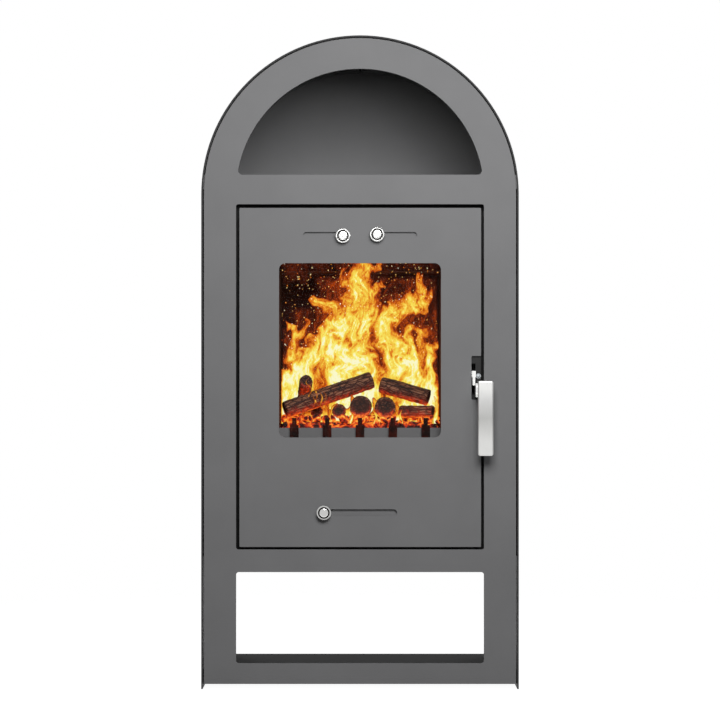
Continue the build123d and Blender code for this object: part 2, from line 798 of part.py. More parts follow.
outer_left_x = across_bed(outer_left_place)
middle_x = across_bed(middle_place)
inner_left_x = middle_x - end_on_radii[2] - inner_left_gap - end_on_radii[1]
inner_right_x = middle_x + end_on_radii[2] + inner_right_gap + end_on_radii[3]
end_on_x = (outer_left_x, inner_left_x, middle_x, inner_right_x, across_bed(outer_right_place))
end_on_logs = [
    flat_log((x, x), (near, far), radius)
    for x, near, far, radius in zip(end_on_x, end_on_nears, end_on_fars, end_on_radii)
]
long_log_x = (across_bed(long_log_place), middle_x + long_log_overhang)
long_log = leaning_log(long_log_x, long_log_nears, long_log_radius, end_on_logs[2])
raised_rear_x = outer_left_x - end_on_radii[0] - raised_log_gap - raised_log_radius
raised_log_x = (raised_rear_x, raised_rear_x + raised_log_turn)
raised_log = leaning_log(raised_log_x, raised_log_nears, raised_log_radius, long_log)
cross_log_x = (inner_right_x - cross_log_overhang, across_bed(cross_log_place))
lying_log = cross_log(cross_log_x, cross_log_nears, cross_log_radius, end_on_logs[3], end_on_logs[4])
front_log_x = (inner_right_x + end_on_radii[3] + front_log_gap, across_bed(front_log_place))
front_log = flat_log(front_log_x, front_log_nears, front_log_radius)
all_logs = end_on_logs + [long_log, raised_log, lying_log, front_log]

with BuildPart() as firewood:
    for start, end, radius in all_logs:
        with BuildSketch(Plane(origin=start, z_dir=end - start)):
            Circle(radius)
        extrude(amount=(end - start).length)
    chamfer(firewood.edges().filter_by(GeomType.CIRCLE), bark_edge)
firewood.part.label = "firewood"
export_step(firewood.part, "parts/firewood.step")

# Door panel with its window, its two top slots, its bottom slot and the notch of the latch.
# Threaded studs welded to its back hold the glass clips and the inner frame.
door_back = plate_back
slot_overall = 2 * slot_play + slot_width
top_guide_half = inner_frame_wall - top_guide_gap
top_travel = (top_guide_half - top_knob_inset - slot_overall / 2 - air_plate_overlap - slide_gap) / 2
slot_length_top = top_travel + slot_overall
step_right = door_right - bottom_frame_gap
step_wall = step_right - inner_frame_sheet - slide_gap
bottom_travel = (step_wall + bottom_knob_inset - slot_overall / 2 - air_plate_overlap) / 2
slot_length_bottom = bottom_travel + slot_overall
top_slot_z = window_top + top_slot_rise
top_slot_x = top_knob_inset + top_travel / 2
bottom_slot_z = window_bottom - bottom_slot_drop
bottom_slot_x = bottom_travel / 2 - bottom_knob_inset
inner_frame_back = door_back + inner_frame_depth
inner_bottom = mouth_bottom - rope_inset - rope_width - inner_frame_sheet
inner_top = mouth_top + rope_inset + rope_width + inner_frame_sheet
clip_places = [
    (side * clip_x, window_z + (row - (clip_rows - 1) / 2) * window_height / clip_rows)
    for side in (-1, 1)
    for row in range(clip_rows)
]
frame_stud_x = glass_half - frame_stud_inset
frame_stud_z = window_bottom - glass_overlap - frame_stud_inset
frame_stud_places = [(0, top_slot_z), (-frame_stud_x, frame_stud_z), (frame_stud_x, frame_stud_z)]
stud_end = glass_back + clip_sheet + nut_height + clip_sheet
frame_stud_end = inner_frame_back + nut_height
with BuildPart() as door_panel:
    with BuildSketch(front_plane(door_back)):
        with Locations((door_x, door_z)):
            RectangleRounded(door_width, door_height, door_corner)
        with Locations((0, window_z)):
            RectangleRounded(window_width, window_height, window_corner, mode=Mode.SUBTRACT)
        with Locations((-top_slot_x, top_slot_z), (top_slot_x, top_slot_z)):
            SlotOverall(slot_length_top, slot_width, mode=Mode.SUBTRACT)
        with Locations((bottom_slot_x, bottom_slot_z)):
            SlotOverall(slot_length_bottom, slot_width, mode=Mode.SUBTRACT)
        with Locations((door_right, notch_bottom + notch_height / 2)):
            RectangleRounded(2 * notch_depth, notch_height, notch_corner, mode=Mode.SUBTRACT)
    extrude(amount=plate_thickness)
    with BuildSketch(front_plane(stud_end)):
        with Locations(*clip_places):
            Circle(stud_radius)
    extrude(amount=stud_end - door_back)
    with BuildSketch(front_plane(frame_stud_end)):
        with Locations(*frame_stud_places):
            Circle(stud_radius)
    extrude(amount=frame_stud_end - door_back)
door_panel.part.label = "door_panel"
export_step(door_panel.part, "parts/door_panel.step")

# Inner frame of the door: a shallow pan behind the panel that the sealing rope is glued to
opening_half_inner = glass_half + inner_opening_overlap
opening_bottom = window_bottom - glass_overlap - inner_opening_overlap
opening_top = window_top + glass_overlap + inner_opening_overlap
air_hole_pitch = mouth_width / (air_hole_count + 1)
bottom_plate_left = bottom_slot_x - slot_length_bottom / 2 - air_plate_overlap
bottom_plate_right = bottom_slot_x + slot_length_bottom / 2 + air_plate_overlap
step_top = bottom_slot_z + air_plate_height / 2 + slide_gap + guide_width + inner_frame_sheet
pan_floor = inner_frame_back - inner_frame_sheet
with BuildPart() as door_inner_frame:
    with BuildSketch(front_plane(inner_frame_back)):
        add(span(-inner_frame_half, inner_frame_half, inner_bottom, inner_top))
        add(span(0, step_right, inner_bottom, step_top))
    extrude(amount=inner_frame_depth)
    with BuildSketch(front_plane(pan_floor)):
        add(span(-inner_frame_half, inner_frame_half, inner_bottom, inner_top))
        add(span(0, step_right, inner_bottom, step_top))
        offset(amount=-inner_frame_sheet, kind=Kind.INTERSECTION, mode=Mode.REPLACE)
    extrude(amount=pan_floor - door_back, mode=Mode.SUBTRACT)
    with BuildSketch(front_plane(inner_frame_back)):
        add(span(-opening_half_inner, opening_half_inner, opening_bottom, opening_top))
        with Locations(*frame_stud_places):
            Circle(stud_radius + stud_fit)
        with Locations((0, mouth_bottom + 2 * slot_width)):
            with GridLocations(air_hole_pitch, 0, air_hole_count, 1):
                SlotOverall(air_hole_pitch - slot_width, slot_width)
    extrude(amount=inner_frame_sheet, mode=Mode.SUBTRACT)
door_inner_frame.part.label = "door_inner_frame"
export_step(door_inner_frame.part, "parts/door_inner_frame.step")

# Glass, its flat gasket, and the clips that press it forwards
glass_height = window_height + 2 * glass_overlap
with BuildPart() as glass_gasket:
    with BuildSketch(front_plane(glass_front)):
        with Locations((0, window_z)):
            Rectangle(2 * glass_half, glass_height)
            Rectangle(2 * (glass_half - gasket_width), glass_height - 2 * gasket_width, mode=Mode.SUBTRACT)
    extrude(amount=gasket_thickness)
glass_gasket.part.label = "glass_gasket"
export_step(glass_gasket.part, "parts/glass_gasket.step")

with BuildPart() as door_glass:
    with BuildSketch(front_plane(glass_back)):
        with Locations((0, window_z)):
            RectangleRounded(2 * glass_half, glass_height, glass_thickness)
    extrude(amount=glass_thickness)
door_glass.part.label = "door_glass"
export_step(door_glass.part, "parts/door_glass.step")

with BuildPart() as glass_clips:
    with BuildSketch(front_plane(glass_back)):
        with Locations(*clip_places):
            Rectangle(clip_foot, clip_height)
            Circle(stud_radius + stud_fit, mode=Mode.SUBTRACT)
    extrude(amount=glass_back - door_back)
    with BuildSketch(front_plane(glass_back + clip_sheet)):
        with Locations(*clip_places):
            Rectangle(clip_foot, clip_height)
            Circle(stud_radius + stud_fit, mode=Mode.SUBTRACT)
        for x, z in clip_places:
            inner_x = glass_half - clip_grip if x > 0 else clip_grip - glass_half
            foot_x = x - clip_foot / 2 if x > 0 else x + clip_foot / 2
            add(span(*sorted((inner_x, foot_x)), z - clip_height / 2, z + clip_height / 2))
    extrude(amount=clip_sheet)
glass_clips.part.label = "glass_clips"
export_step(glass_clips.part, "parts/glass_clips.step")

# Hex nuts on the studs of the clips and of the inner frame
with BuildPart() as door_nuts:
    for depth, places in ((glass_back + clip_sheet, clip_places), (inner_frame_back, frame_stud_places)):
        with BuildSketch(front_plane(depth + nut_height)):
            with Locations(*places):
                RegularPolygon(nut_across / 2, 6, major_radius=False)
                Circle(stud_radius + stud_fit, mode=Mode.SUBTRACT)
        extrude(amount=nut_height)
door_nuts.part.label = "door_nuts"
export_step(door_nuts.part, "parts/door_nuts.step")

# Sealing rope on the back of the inner frame, just clear of the sealing frame
rope_line_width = mouth_width + 2 * rope_inset + rope_width
rope_line_height = mouth_height + 2 * rope_inset + rope_width
rope_front = inner_frame_back
rope_back = frame_face - rope_gap
with BuildPart() as door_rope_seal:
    with BuildSketch(front_plane(rope_back)):
        with Locations((0, mouth_z)):
            RectangleRounded(rope_line_width + rope_width, rope_line_height + rope_width, 2 * rope_width)
            RectangleRounded(
                rope_line_width - rope_width,
                rope_line_height - rope_width,
                rope_width,
                mode=Mode.SUBTRACT,
            )
    extrude(amount=rope_back - rope_front)
    fillet(door_rope_seal.faces().sort_by(Axis.Y)[-1].edges(), rope_inset)
door_rope_seal.part.label = "door_rope_seal"
export_step(door_rope_seal.part, "parts/door_rope_seal.step")

# Hinges: on the door a knuckle with a welded foot, on the frame a bracket with two lugs, and a headed pin.
# The lugs' near sides are cut back so that the door's edge clears them when it is wide open.
pivot_x = door_left + pivot_inset
pivot_y = behind(door_back + pivot_setback)
open_turn = radians(door_open_angle)
knuckle_half = knuckle_length / 2
lug_low = knuckle_half + lug_play
bracket_half = lug_low + lug_thickness
lug_reach = frame_face - door_back - pivot_setback
tangent_x = -knuckle_radius * sin(open_turn)
tangent_y = -knuckle_radius * cos(open_turn)
lug_root_x = tangent_x - (lug_reach - tangent_y) / tan(open_turn)
knuckle_foot_right = pivot_inset - slide_gap - lug_play
for hinge_name, hinge_z in (("upper", door_top - hinge_from_edge), ("lower", door_bottom + hinge_from_edge)):
    with BuildPart() as hinge_bracket:
        with BuildSketch(Plane.XY.offset(hinge_z - bracket_half)) as lug_sketch:
            with Locations((pivot_x, pivot_y)):
                Circle(knuckle_radius)
                Polygon(
                    (tangent_x, tangent_y),
                    (knuckle_radius, 0),
                    (lug_root_x + lug_root_width, lug_reach),
                    (lug_root_x, lug_reach),
                    align=None,
                )
                Circle(hinge_pin_radius + pin_fit, mode=Mode.SUBTRACT)
        extrude(amount=lug_thickness)
        with BuildSketch(Plane.XY.offset(hinge_z + lug_low)):
            add(lug_sketch.sketch_local)
        extrude(amount=lug_thickness)
        with BuildSketch(front_plane(frame_face)):
            with Locations((pivot_x + lug_root_x, hinge_z)):
                Rectangle(lug_root_width, 2 * bracket_half, align=(Align.MIN, Align.CENTER))
        extrude(amount=hinge_base_thickness)
    hinge_bracket.part.label = f"hinge_bracket_{hinge_name}"
    export_step(hinge_bracket.part, f"parts/hinge_bracket_{hinge_name}.step")

    with BuildPart() as hinge_knuckle:
        with BuildSketch(Plane.XY.offset(hinge_z - knuckle_half)):
            with Locations((pivot_x, pivot_y)):
                Circle(knuckle_radius)
            with Locations((pivot_x, behind(door_back))):
                Rectangle(knuckle_foot_right, pivot_setback / 2, align=(Align.MIN, Align.MIN))
            with Locations((pivot_x, pivot_y)):
                Circle(hinge_pin_radius + pin_fit, mode=Mode.SUBTRACT)
        extrude(amount=knuckle_length)
    hinge_knuckle.part.label = f"hinge_knuckle_{hinge_name}"
    export_step(hinge_knuckle.part, f"parts/hinge_knuckle_{hinge_name}.step")

    with BuildPart() as hinge_pin:
        with BuildSketch(Plane.XY.offset(hinge_z - bracket_half)):
            with Locations((pivot_x, pivot_y)):
                Circle(hinge_pin_radius)
        extrude(amount=2 * bracket_half)
        with BuildSketch(Plane.XY.offset(hinge_z + bracket_half)):
            with Locations((pivot_x, pivot_y)):
                Circle(hinge_pin_head_radius)
        extrude(amount=hinge_pin_head_height)
    hinge_pin.part.label = f"hinge_pin_{hinge_name}"
    export_step(hinge_pin.part, f"parts/hinge_pin_{hinge_name}.step")

# Latch bracket: a plate behind the notch with a slot for the lever, and two ears for its pin
latch_y = behind(door_back + latch_pivot_setback)
lever_right = lever_left + lever_thickness
slot_left = lever_left - ear_gap
slot_right = lever_right + ear_gap
ear_left = slot_left - ear_thickness
ear_right_thickness = ear_thickness / 2
ear_right = slot_right + ear_right_thickness
bracket_left = door_right - bracket_width
bracket_bottom = notch_bottom - bracket_overlap
bracket_top = notch_bottom + notch_height + bracket_overlap
bracket_face = door_back + bracket_thickness
bracket_slot_bottom = notch_bottom + lobe_radius
bracket_slot_top = pivot_height + ear_height - slot_play
keeper_screw_x = ear_right + keeper_screw_radius + slide_gap
ear_depth = latch_pivot_setback - bracket_thickness + lobe_radius
with BuildPart() as latch_bracket:
    with BuildSketch(front_plane(bracket_face)):
        add(span(bracket_left, door_right, bracket_bottom, bracket_top))
        add(span(slot_left, slot_right, bracket_slot_bottom, bracket_slot_top), mode=Mode.SUBTRACT)
        with Locations((keeper_screw_x, pivot_height)):
            Circle(keeper_screw_radius + pin_fit, mode=Mode.SUBTRACT)
    extrude(amount=bracket_thickness)
    ear_sides = ((ear_left, ear_thickness), (slot_right, ear_right_thickness))
    for ear_x, thickness in ear_sides:
        with BuildSketch(Plane.YZ.offset(ear_x)):
            with Locations((behind(bracket_face), pivot_height)):
                Rectangle(ear_depth, ear_height, align=(Align.MIN, Align.CENTER))
            with Locations((latch_y, pivot_height)):
                Circle(latch_pin_radius + pin_fit, mode=Mode.SUBTRACT)
        extrude(amount=thickness)
latch_bracket.part.label = "latch_bracket"
export_step(latch_bracket.part, "parts/latch_bracket.step")

# Pivot pin of the latch, with its head against the inner ear
with BuildPart() as latch_pivot_pin:
    with BuildSketch(Plane.YZ.offset(ear_left)):
        with Locations((latch_y, pivot_height)):
            Circle(latch_pin_radius)
    extrude(amount=ear_right - ear_left)
    with BuildSketch(Plane.YZ.offset(ear_left - latch_pin_head)):
        with Locations((latch_y, pivot_height)):
            Circle(latch_pin_radius + latch_pin_head)
    extrude(amount=latch_pin_head)
latch_pivot_pin.part.label = "latch_pivot_pin"
export_step(latch_pivot_pin.part, "parts/latch_pivot_pin.step")

# Screw beside the lever, with a flange under its head, whose shank keeps the pivot pin from sliding out
keeper_screw_end = door_back + latch_pivot_setback + lobe_radius
with BuildPart() as latch_keeper_screw:
    with BuildSketch(front_plane(door_back)):
        with Locations((keeper_screw_x, pivot_height)):
            Circle(keeper_flange_radius)
    extrude(amount=keeper_flange_height)
    with BuildSketch(front_plane(door_back - keeper_flange_height)):
        with Locations((keeper_screw_x, pivot_height)):
            Circle(keeper_screw_head)
    extrude(amount=keeper_head_height)
    fillet(latch_keeper_screw.faces().sort_by(Axis.Y)[0].edges(), keeper_head_height / 2)
    with BuildSketch(front_plane(keeper_screw_end)):
        with Locations((keeper_screw_x, pivot_height)):
            Circle(keeper_screw_radius)
    extrude(amount=keeper_screw_end - door_back)
latch_keeper_screw.part.label = "latch_keeper_screw"
export_step(latch_keeper_screw.part, "parts/latch_keeper_screw.step")

# Latch lever: a bent plate with a lobe on the pivot pin, a hook that reaches through the keeper slot,
# and an arm that comes out through the notch and steps sideways into the flange of the grip.
# The front of the arm ends at the top in a head that is a little wider than the plate.
# Its outlines are drawn from the pivot, with +Y to the rear.
grip_back = grip_thickness - handle_proud
flange_front = grip_back - grip_thickness / 2 - door_back - latch_pivot_setback
flange_back = -latch_pivot_setback - flange_swing_room
flange_bottom = flange_rise - pivot_rise
flange_top = flange_bottom + flange_height
arm_front = flange_back - lobe_radius
arm_bottom = flange_top - lever_arm_width
rivet_y = latch_y + flange_front + grip_thickness / 4
rivet_heights = [pivot_height + flange_bottom + flange_height * share for share in (1 / 4, 3 / 4)]
with BuildPart() as latch_lever:
    with BuildSketch(Plane.YZ.offset(lever_left)):
        with Locations((latch_y, pivot_height)):
            Circle(lobe_radius)
            Polygon(
                (0, lobe_radius),
                (arm_front, lobe_radius),
                (arm_front, arm_bottom),
                (flange_back, arm_bottom),
                (0, -lobe_radius),
                align=None,
            )
            Polygon(
                (0, -hook_arm_half),
                (hook_reach, -hook_arm_half),
                (hook_reach, hook_nose_top),
                (hook_reach - hook_nose_length, hook_nose_top),
                (hook_reach - hook_nose_length - slot_play, 0),
                (0, hook_arm_half),
                align=None,
            )
            Circle(latch_pin_radius + pin_fit, mode=Mode.SUBTRACT)
    extrude(amount=lever_thickness)
    with BuildSketch(Plane.YZ.offset(lever_left - lever_head_overhang)):
        with Locations((latch_y + arm_front, pivot_height + lobe_radius)):
            Rectangle(lever_head_depth, lever_head_height, align=(Align.MIN, Align.MAX))
    extrude(amount=lever_thickness + 2 * lever_head_overhang)
    with BuildSketch(Plane.YZ.offset(lever_right)):
        with Locations((latch_y, pivot_height)):
            Polygon(
                (flange_back, flange_top),
                (flange_front, flange_top),
                (flange_front, flange_bottom),
                (flange_back, flange_bottom),
                align=None,
            )
        with Locations(*[(rivet_y, z) for z in rivet_heights]):
            Circle(grip_rivet_radius + pin_fit, mode=Mode.SUBTRACT)
    extrude(amount=flange_thickness)
latch_lever.part.label = "latch_lever"
export_step(latch_lever.part, "parts/latch_lever.step")

# Grip: a flat rounded bar beside the flange, held by two flush rivets
grip_left = lever_right + flange_thickness
grip_top = pivot_height + flange_top + grip_top_gap
grip_z = grip_top - grip_length / 2
with BuildPart() as handle_grip:
    with BuildSketch(front_plane(grip_back)):
        with Locations((grip_left + grip_width / 2, grip_z)):
            RectangleRounded(grip_width, grip_length, grip_corner)
    extrude(amount=grip_thickness)
    fillet(handle_grip.faces().sort_by(Axis.Y)[0].edges(), grip_edge)
    with BuildSketch(Plane.YZ.offset(grip_left)):
        with Locations(*[(rivet_y, z) for z in rivet_heights]):
            Circle(grip_rivet_radius + pin_fit)
    extrude(amount=grip_rivet_length - flange_thickness + slide_gap, mode=Mode.SUBTRACT)
handle_grip.part.label = "handle_grip"
export_step(handle_grip.part, "parts/handle_grip.step")

with BuildPart() as grip_rivets:
    with BuildSketch(Plane.YZ.offset(lever_right)):
        with Locations(*[(rivet_y, z) for z in rivet_heights]):
            Circle(grip_rivet_radius)
    extrude(amount=grip_rivet_length)
grip_rivets.part.label = "grip_rivets"
export_step(grip_rivets.part, "parts/grip_rivets.step")

# Guides of the air plates: strips behind the panel whose lips hold the plates' edges
slide_back = door_back + slide_gap + air_plate_thickness + slide_gap
bottom_reach_left = bottom_plate_left - slide_gap
bottom_reach_right = bottom_plate_right + bottom_travel
guide_rows = (
    ("top_air_guides", top_slot_z, -top_guide_half, top_guide_half),
    ("bottom_air_guides", bottom_slot_z, bottom_reach_left, bottom_reach_right),
)
for guide_name, guide_z, low_x, high_x in guide_rows:
    with BuildPart() as air_guides:
        for side in (-1, 1):
            edge_z = guide_z + side * (air_plate_height / 2 + slide_gap)
            outer_z = edge_z + side * guide_width
            lip_z = edge_z - side * guide_lip
            with BuildSketch(front_plane(slide_back)):
                add(span(low_x, high_x, *sorted((edge_z, outer_z))))
            extrude(amount=slide_back - door_back)
            with BuildSketch(front_plane(slide_back + guide_sheet)):
                add(span(low_x, high_x, *sorted((lip_z, outer_z))))
            extrude(amount=guide_sheet)
    air_guides.part.label = guide_name
    export_step(air_guides.part, f"parts/{guide_name}.step")

# Air sliders: each a plate behind the door, moved by a cup-shaped knob in front of it.
# The knob's screw passes through the slot into a nut welded to the plate.
plate_front = door_back + slide_gap
air_plate_back = plate_front + air_plate_thickness
cup_base = rim_recess - slide_gap
cup_floor_front = cup_base - knob_floor
screw_end = air_plate_back + weld_nut_height
air_sliders = (
    ("left", -top_knob_inset, top_slot_z - top_knob_offset, -top_slot_x, top_slot_z, slot_length_top),
    ("right", top_knob_inset, top_slot_z + top_knob_offset, top_slot_x, top_slot_z, slot_length_top),
    ("bottom", -bottom_knob_inset, bottom_slot_z, bottom_slot_x, bottom_slot_z, slot_length_bottom),
)
for slider_name, knob_x, knob_z, slot_x, slot_z, slot_length in air_sliders:
    with BuildPart() as air_plate:
        with BuildSketch(front_plane(air_plate_back)):
            with Locations((slot_x, slot_z)):
                Rectangle(slot_length + 2 * air_plate_overlap, air_plate_height)
        extrude(amount=air_plate_thickness)
        with BuildSketch(front_plane(screw_end)):
            with Locations((knob_x, knob_z)):
                RegularPolygon(weld_nut_radius, 6, major_radius=False)
        extrude(amount=weld_nut_height)
        with BuildSketch(front_plane(screw_end)):
            with Locations((knob_x, knob_z)):
                Circle(knob_shank_radius + pin_fit)
        extrude(amount=screw_end - plate_front, mode=Mode.SUBTRACT)
    air_plate.part.label = f"air_plate_{slider_name}"
    export_step(air_plate.part, f"parts/air_plate_{slider_name}.step")

    with BuildPart() as knob_cup:
        with BuildSketch(front_plane(cup_base)):
            with Locations((knob_x, knob_z)):
                Circle(knob_radius)
        extrude(amount=knob_height)
        with BuildSketch(front_plane(cup_floor_front)):
            with Locations((knob_x, knob_z)):
                Circle(knob_bore_radius)
        extrude(amount=knob_height, mode=Mode.SUBTRACT)
        with BuildSketch(front_plane(cup_base)):
            with Locations((knob_x, knob_z)):
                Circle(knob_shank_radius + pin_fit)
        extrude(amount=knob_floor, mode=Mode.SUBTRACT)
        chamfer(knob_cup.edges().filter_by(GeomType.CIRCLE).group_by(SortBy.RADIUS)[-1], knob_floor / 5)
    knob_cup.part.label = f"knob_cup_{slider_name}"
    export_step(knob_cup.part, f"parts/knob_cup_{slider_name}.step")

    with BuildPart() as knob_screw:
        with BuildSketch(front_plane(cup_floor_front)):
            with Locations((knob_x, knob_z)):
                Circle(knob_head_radius)
        extrude(amount=knob_head_height)
        fillet(knob_screw.faces().sort_by(Axis.Y)[0].edges(), knob_floor / 2)
        with BuildSketch(front_plane(screw_end)):
            with Locations((knob_x, knob_z)):
                Circle(knob_shank_radius)
        extrude(amount=screw_end - cup_floor_front)
    knob_screw.part.label = f"knob_screw_{slider_name}"
    export_step(knob_screw.part, f"parts/knob_screw_{slider_name}.step")
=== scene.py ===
"""Looks of a freestanding wood stove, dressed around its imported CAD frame.

Every object is in metres, in the frame's axes: +Z up, the front faces -Y. Each sub-assembly of the stove is
a class that builds or dresses its pieces, and each finish is a class that builds one material.
"""

import logging
import math
from dataclasses import dataclass, field
from enum import Enum
from typing import Any, Sequence

import bpy
import numpy as np
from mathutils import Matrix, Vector


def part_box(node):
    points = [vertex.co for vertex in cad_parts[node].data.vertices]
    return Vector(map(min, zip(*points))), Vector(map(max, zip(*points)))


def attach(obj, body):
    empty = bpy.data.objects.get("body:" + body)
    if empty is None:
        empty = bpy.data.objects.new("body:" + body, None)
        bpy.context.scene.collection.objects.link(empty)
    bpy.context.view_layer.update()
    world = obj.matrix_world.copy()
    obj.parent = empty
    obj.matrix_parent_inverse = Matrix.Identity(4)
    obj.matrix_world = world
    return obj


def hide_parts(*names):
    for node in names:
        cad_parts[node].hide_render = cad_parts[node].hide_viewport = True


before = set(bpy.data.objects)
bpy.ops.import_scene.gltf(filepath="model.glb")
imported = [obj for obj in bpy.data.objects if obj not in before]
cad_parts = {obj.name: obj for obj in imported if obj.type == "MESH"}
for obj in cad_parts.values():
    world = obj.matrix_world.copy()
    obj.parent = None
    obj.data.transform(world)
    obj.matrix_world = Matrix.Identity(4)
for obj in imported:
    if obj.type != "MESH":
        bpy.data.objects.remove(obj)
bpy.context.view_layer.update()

log = logging.getLogger("stove")
MM = 0.001
WHITE = "#ffffff"
Tree = bpy.types.NodeTree
Node = bpy.types.Node
Socket = bpy.types.NodeSocket
Span = tuple[Sequence[float], Sequence[float], int]  # least, greatest and seed


class Body(Enum):
    """Bodies that the built pieces ride on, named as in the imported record."""

    ROOT = "root"


def linear(hex_colour: str) -> tuple[float, float, float, float]:
    """Turns an sRGB colour into the linear colour that the shaders work in.

    Args:
        hex_colour: Six hex digits, with or without a leading #.

    Returns:
        Red, green, blue and an alpha of 1.
    """
    digits = hex_colour.lstrip("#")
    shares = [int(digits[i : i + 2], 16) / 255 for i in (0, 2, 4)]
    values = [s / 12.92 if s <= 0.04045 else ((s + 0.055) / 1.055) ** 2.4 for s in shares]
    return (values[0], values[1], values[2], 1.0)


def per_metre(size_mm: float) -> float:
    """Scale of a texture node whose features are to be this many millimetres wide."""
    return 1 / (size_mm * MM)


def connect(node: Node, inputs: dict[Any, Any]) -> None:
    """Fills inputs of a node.

    Args:
        node: Node in its tree.
        inputs: Values by input name or number. A socket, or a node's first output, is linked, and anything
            else is set.
    """
    for key, value in inputs.items():
        source = value.outputs[0] if isinstance(value, Node) else value
        if isinstance(source, Socket):
            node.id_data.links.new(source, node.inputs[key])
        else:
            node.inputs[key].default_value = source


def add_node(tree: Tree, kind: str, inputs: dict[Any, Any] | None = None, **settings: Any) -> Node:
    """Adds one node with its settings and links.

    Args:
        tree: Shader or geometry tree that takes the node.
        kind: Blender's name of the node type.
        inputs: What fills its inputs, in the form that connect takes.
        settings: Attributes of the node. For a colour ramp, stops are its positions from 0 to 1, each with
            its sRGB colour.

    Returns:
        The new node.
    """
    node = tree.nodes.new(kind)
    stops = settings.pop("stops", ())
    if stops:
        elements = node.color_ramp.elements
        elements.remove(elements[1])
        elements[0].position, elements[0].color = stops[0][0], linear(stops[0][1])
        for position, colour in stops[1:]:
            elements.new(position).color = linear(colour)
    for name, value in settings.items():
        setattr(node, name, value)
    connect(node, inputs or {})
    return node


# Finishes
@dataclass(frozen=True)
class Finish:
    """A surface finish: its name, its plain colour and how it takes light."""

    name: str
    colour: str
    roughness: float
    metallic: float = 0.0

    def material(self) -> bpy.types.Material:
        """Material of this finish, built on first use.

        Returns:
            The material.
        """
        found = bpy.data.materials.get(self.name)
        if found:
            return found
        material = bpy.data.materials.new(self.name)
        material.use_nodes = True
        tree = material.node_tree
        tree.nodes.clear()
        plain = {"Base Color": linear(self.colour), "Roughness": self.roughness, "Metallic": self.metallic}
        shader = add_node(tree, "ShaderNodeBsdfPrincipled", plain)
        place = add_node(tree, "ShaderNodeTexCoord").outputs["Object"]
        connect(shader, self.pattern(tree, place))
        add_node(tree, "ShaderNodeOutputMaterial", {"Surface": shader})
        return material

    def pattern(self, tree: Tree, place: Socket) -> dict[str, Any]:
        """The finish's pattern.

        Args:
            tree: The material's tree.
            place: Object coordinates.

        Returns:
            What fills the Principled shader's inputs beyond the plain finish.
        """
        return {}


@dataclass(frozen=True)
class HeatPaint(Finish):
    """Matt stove paint: sprayed silicone paint on sheet steel, with a fine sandy grain and faint clouds."""

    cloud_colour: str = "#5f5f60"
    cloud_mm: float = 70.0
    grain_mm: float = 0.9
    grain_height_mm: float = 0.02
    roughness_spread: float = 0.06
    gloss: float = 0.3

    def pattern(self, tree: Tree, place: Socket) -> dict[str, Any]:
        """Clouds of a slightly other tone, and a grain drawn coarser than the real 0.2 mm so that it shows.

        Args:
            tree: The material's tree.
            place: Object coordinates.

        Returns:
            What fills the shader's inputs.
        """
        clouds, grain = (
            add_node(tree, "ShaderNodeTexNoise", {"Vector": place, "Scale": per_metre(size), "Detail": steps})
            for size, steps in ((self.cloud_mm, 3.0), (self.grain_mm, 2.0))
        )
        tones = ((0.3, self.colour), (0.75, self.cloud_colour))
        low, high = self.roughness - self.roughness_spread, self.roughness + self.roughness_spread
        sheen = {"Value": grain, "To Min": low, "To Max": high}
        relief = {"Height": grain, "Strength": 0.5, "Distance": self.grain_height_mm * MM}
        return {
            "Base Color": add_node(tree, "ShaderNodeValToRGB", {"Fac": clouds}, stops=tones),
            "Roughness": add_node(tree, "ShaderNodeMapRange", sheen),
            "Specular IOR Level": self.gloss,
            "Normal": add_node(tree, "ShaderNodeBump", relief),
        }


@dataclass(frozen=True)
class EdgeShadedPaint(HeatPaint):
    """Matt stove paint on a laser-cut sheet, with painted shade: darker along the front edge, standing in for
    the shade at the sheet's rim.
    """

    painted_edge_shade_colour: str = "#262626"
    edge_y: float = 0.0
    edge_mm: float = 0.2

    def pattern(self, tree: Tree, place: Socket) -> dict[str, Any]:
        """The paint, and painted shade along the front edge.

        Args:
            tree: The material's tree.
            place: Object coordinates.

        Returns:
            What fills the shader's inputs.
        """
        look = super().pattern(tree, place)
        # Painted shade: the colour darkens over the frontmost edge_mm of the sheet.
        depth = add_node(tree, "ShaderNodeSeparateXYZ", {0: place}).outputs["Y"]
        start, end = (self.edge_y + share * self.edge_mm * MM for share in (0.25, 1))
        cover = add_node(tree, "ShaderNodeMapRange", {"Value": depth, "From Min": start, "From Max": end})
        tones = {"Factor": cover, 6: linear(self.painted_edge_shade_colour), 7: look["Base Color"]}
        return look | {"Base Color": add_node(tree, "ShaderNodeMix", tones, data_type="RGBA").outputs[2]}


@dataclass(frozen=True)
class SatinSteel(Finish):
    """Satin stainless steel: ground along one axis with a fine belt, then left bare."""

    scratch_mm: float = 0.35
    scratch_length_mm: float = 14.0
    scratch_depth_mm: float = 0.01
    roughness_spread: float = 0.08

    def pattern(self, tree: Tree, place: Socket) -> dict[str, Any]:
        """Long thin upright scratches, drawn wider than the real 0.05 mm so that they show.

        Args:
            tree: The material's tree.
            place: Object coordinates.

        Returns:
            What fills the shader's inputs.
        """
        scale = [per_metre(size) for size in (self.scratch_mm, self.scratch_mm, self.scratch_length_mm)]
        stretched = add_node(tree, "ShaderNodeMapping", {"Vector": place, "Scale": scale})
        scratches = add_node(tree, "ShaderNodeTexNoise", {"Vector": stretched, "Scale": 1.0, "Detail": 3.0})
        low, high = self.roughness - self.roughness_spread, self.roughness + self.roughness_spread
        sheen = {"Value": scratches, "To Min": low, "To Max": high}
        relief = {"Height": scratches, "Strength": 0.25, "Distance": self.scratch_depth_mm * MM}
        return {
            "Roughness": add_node(tree, "ShaderNodeMapRange", sheen),
            "Normal": add_node(tree, "ShaderNodeBump", relief),
        }


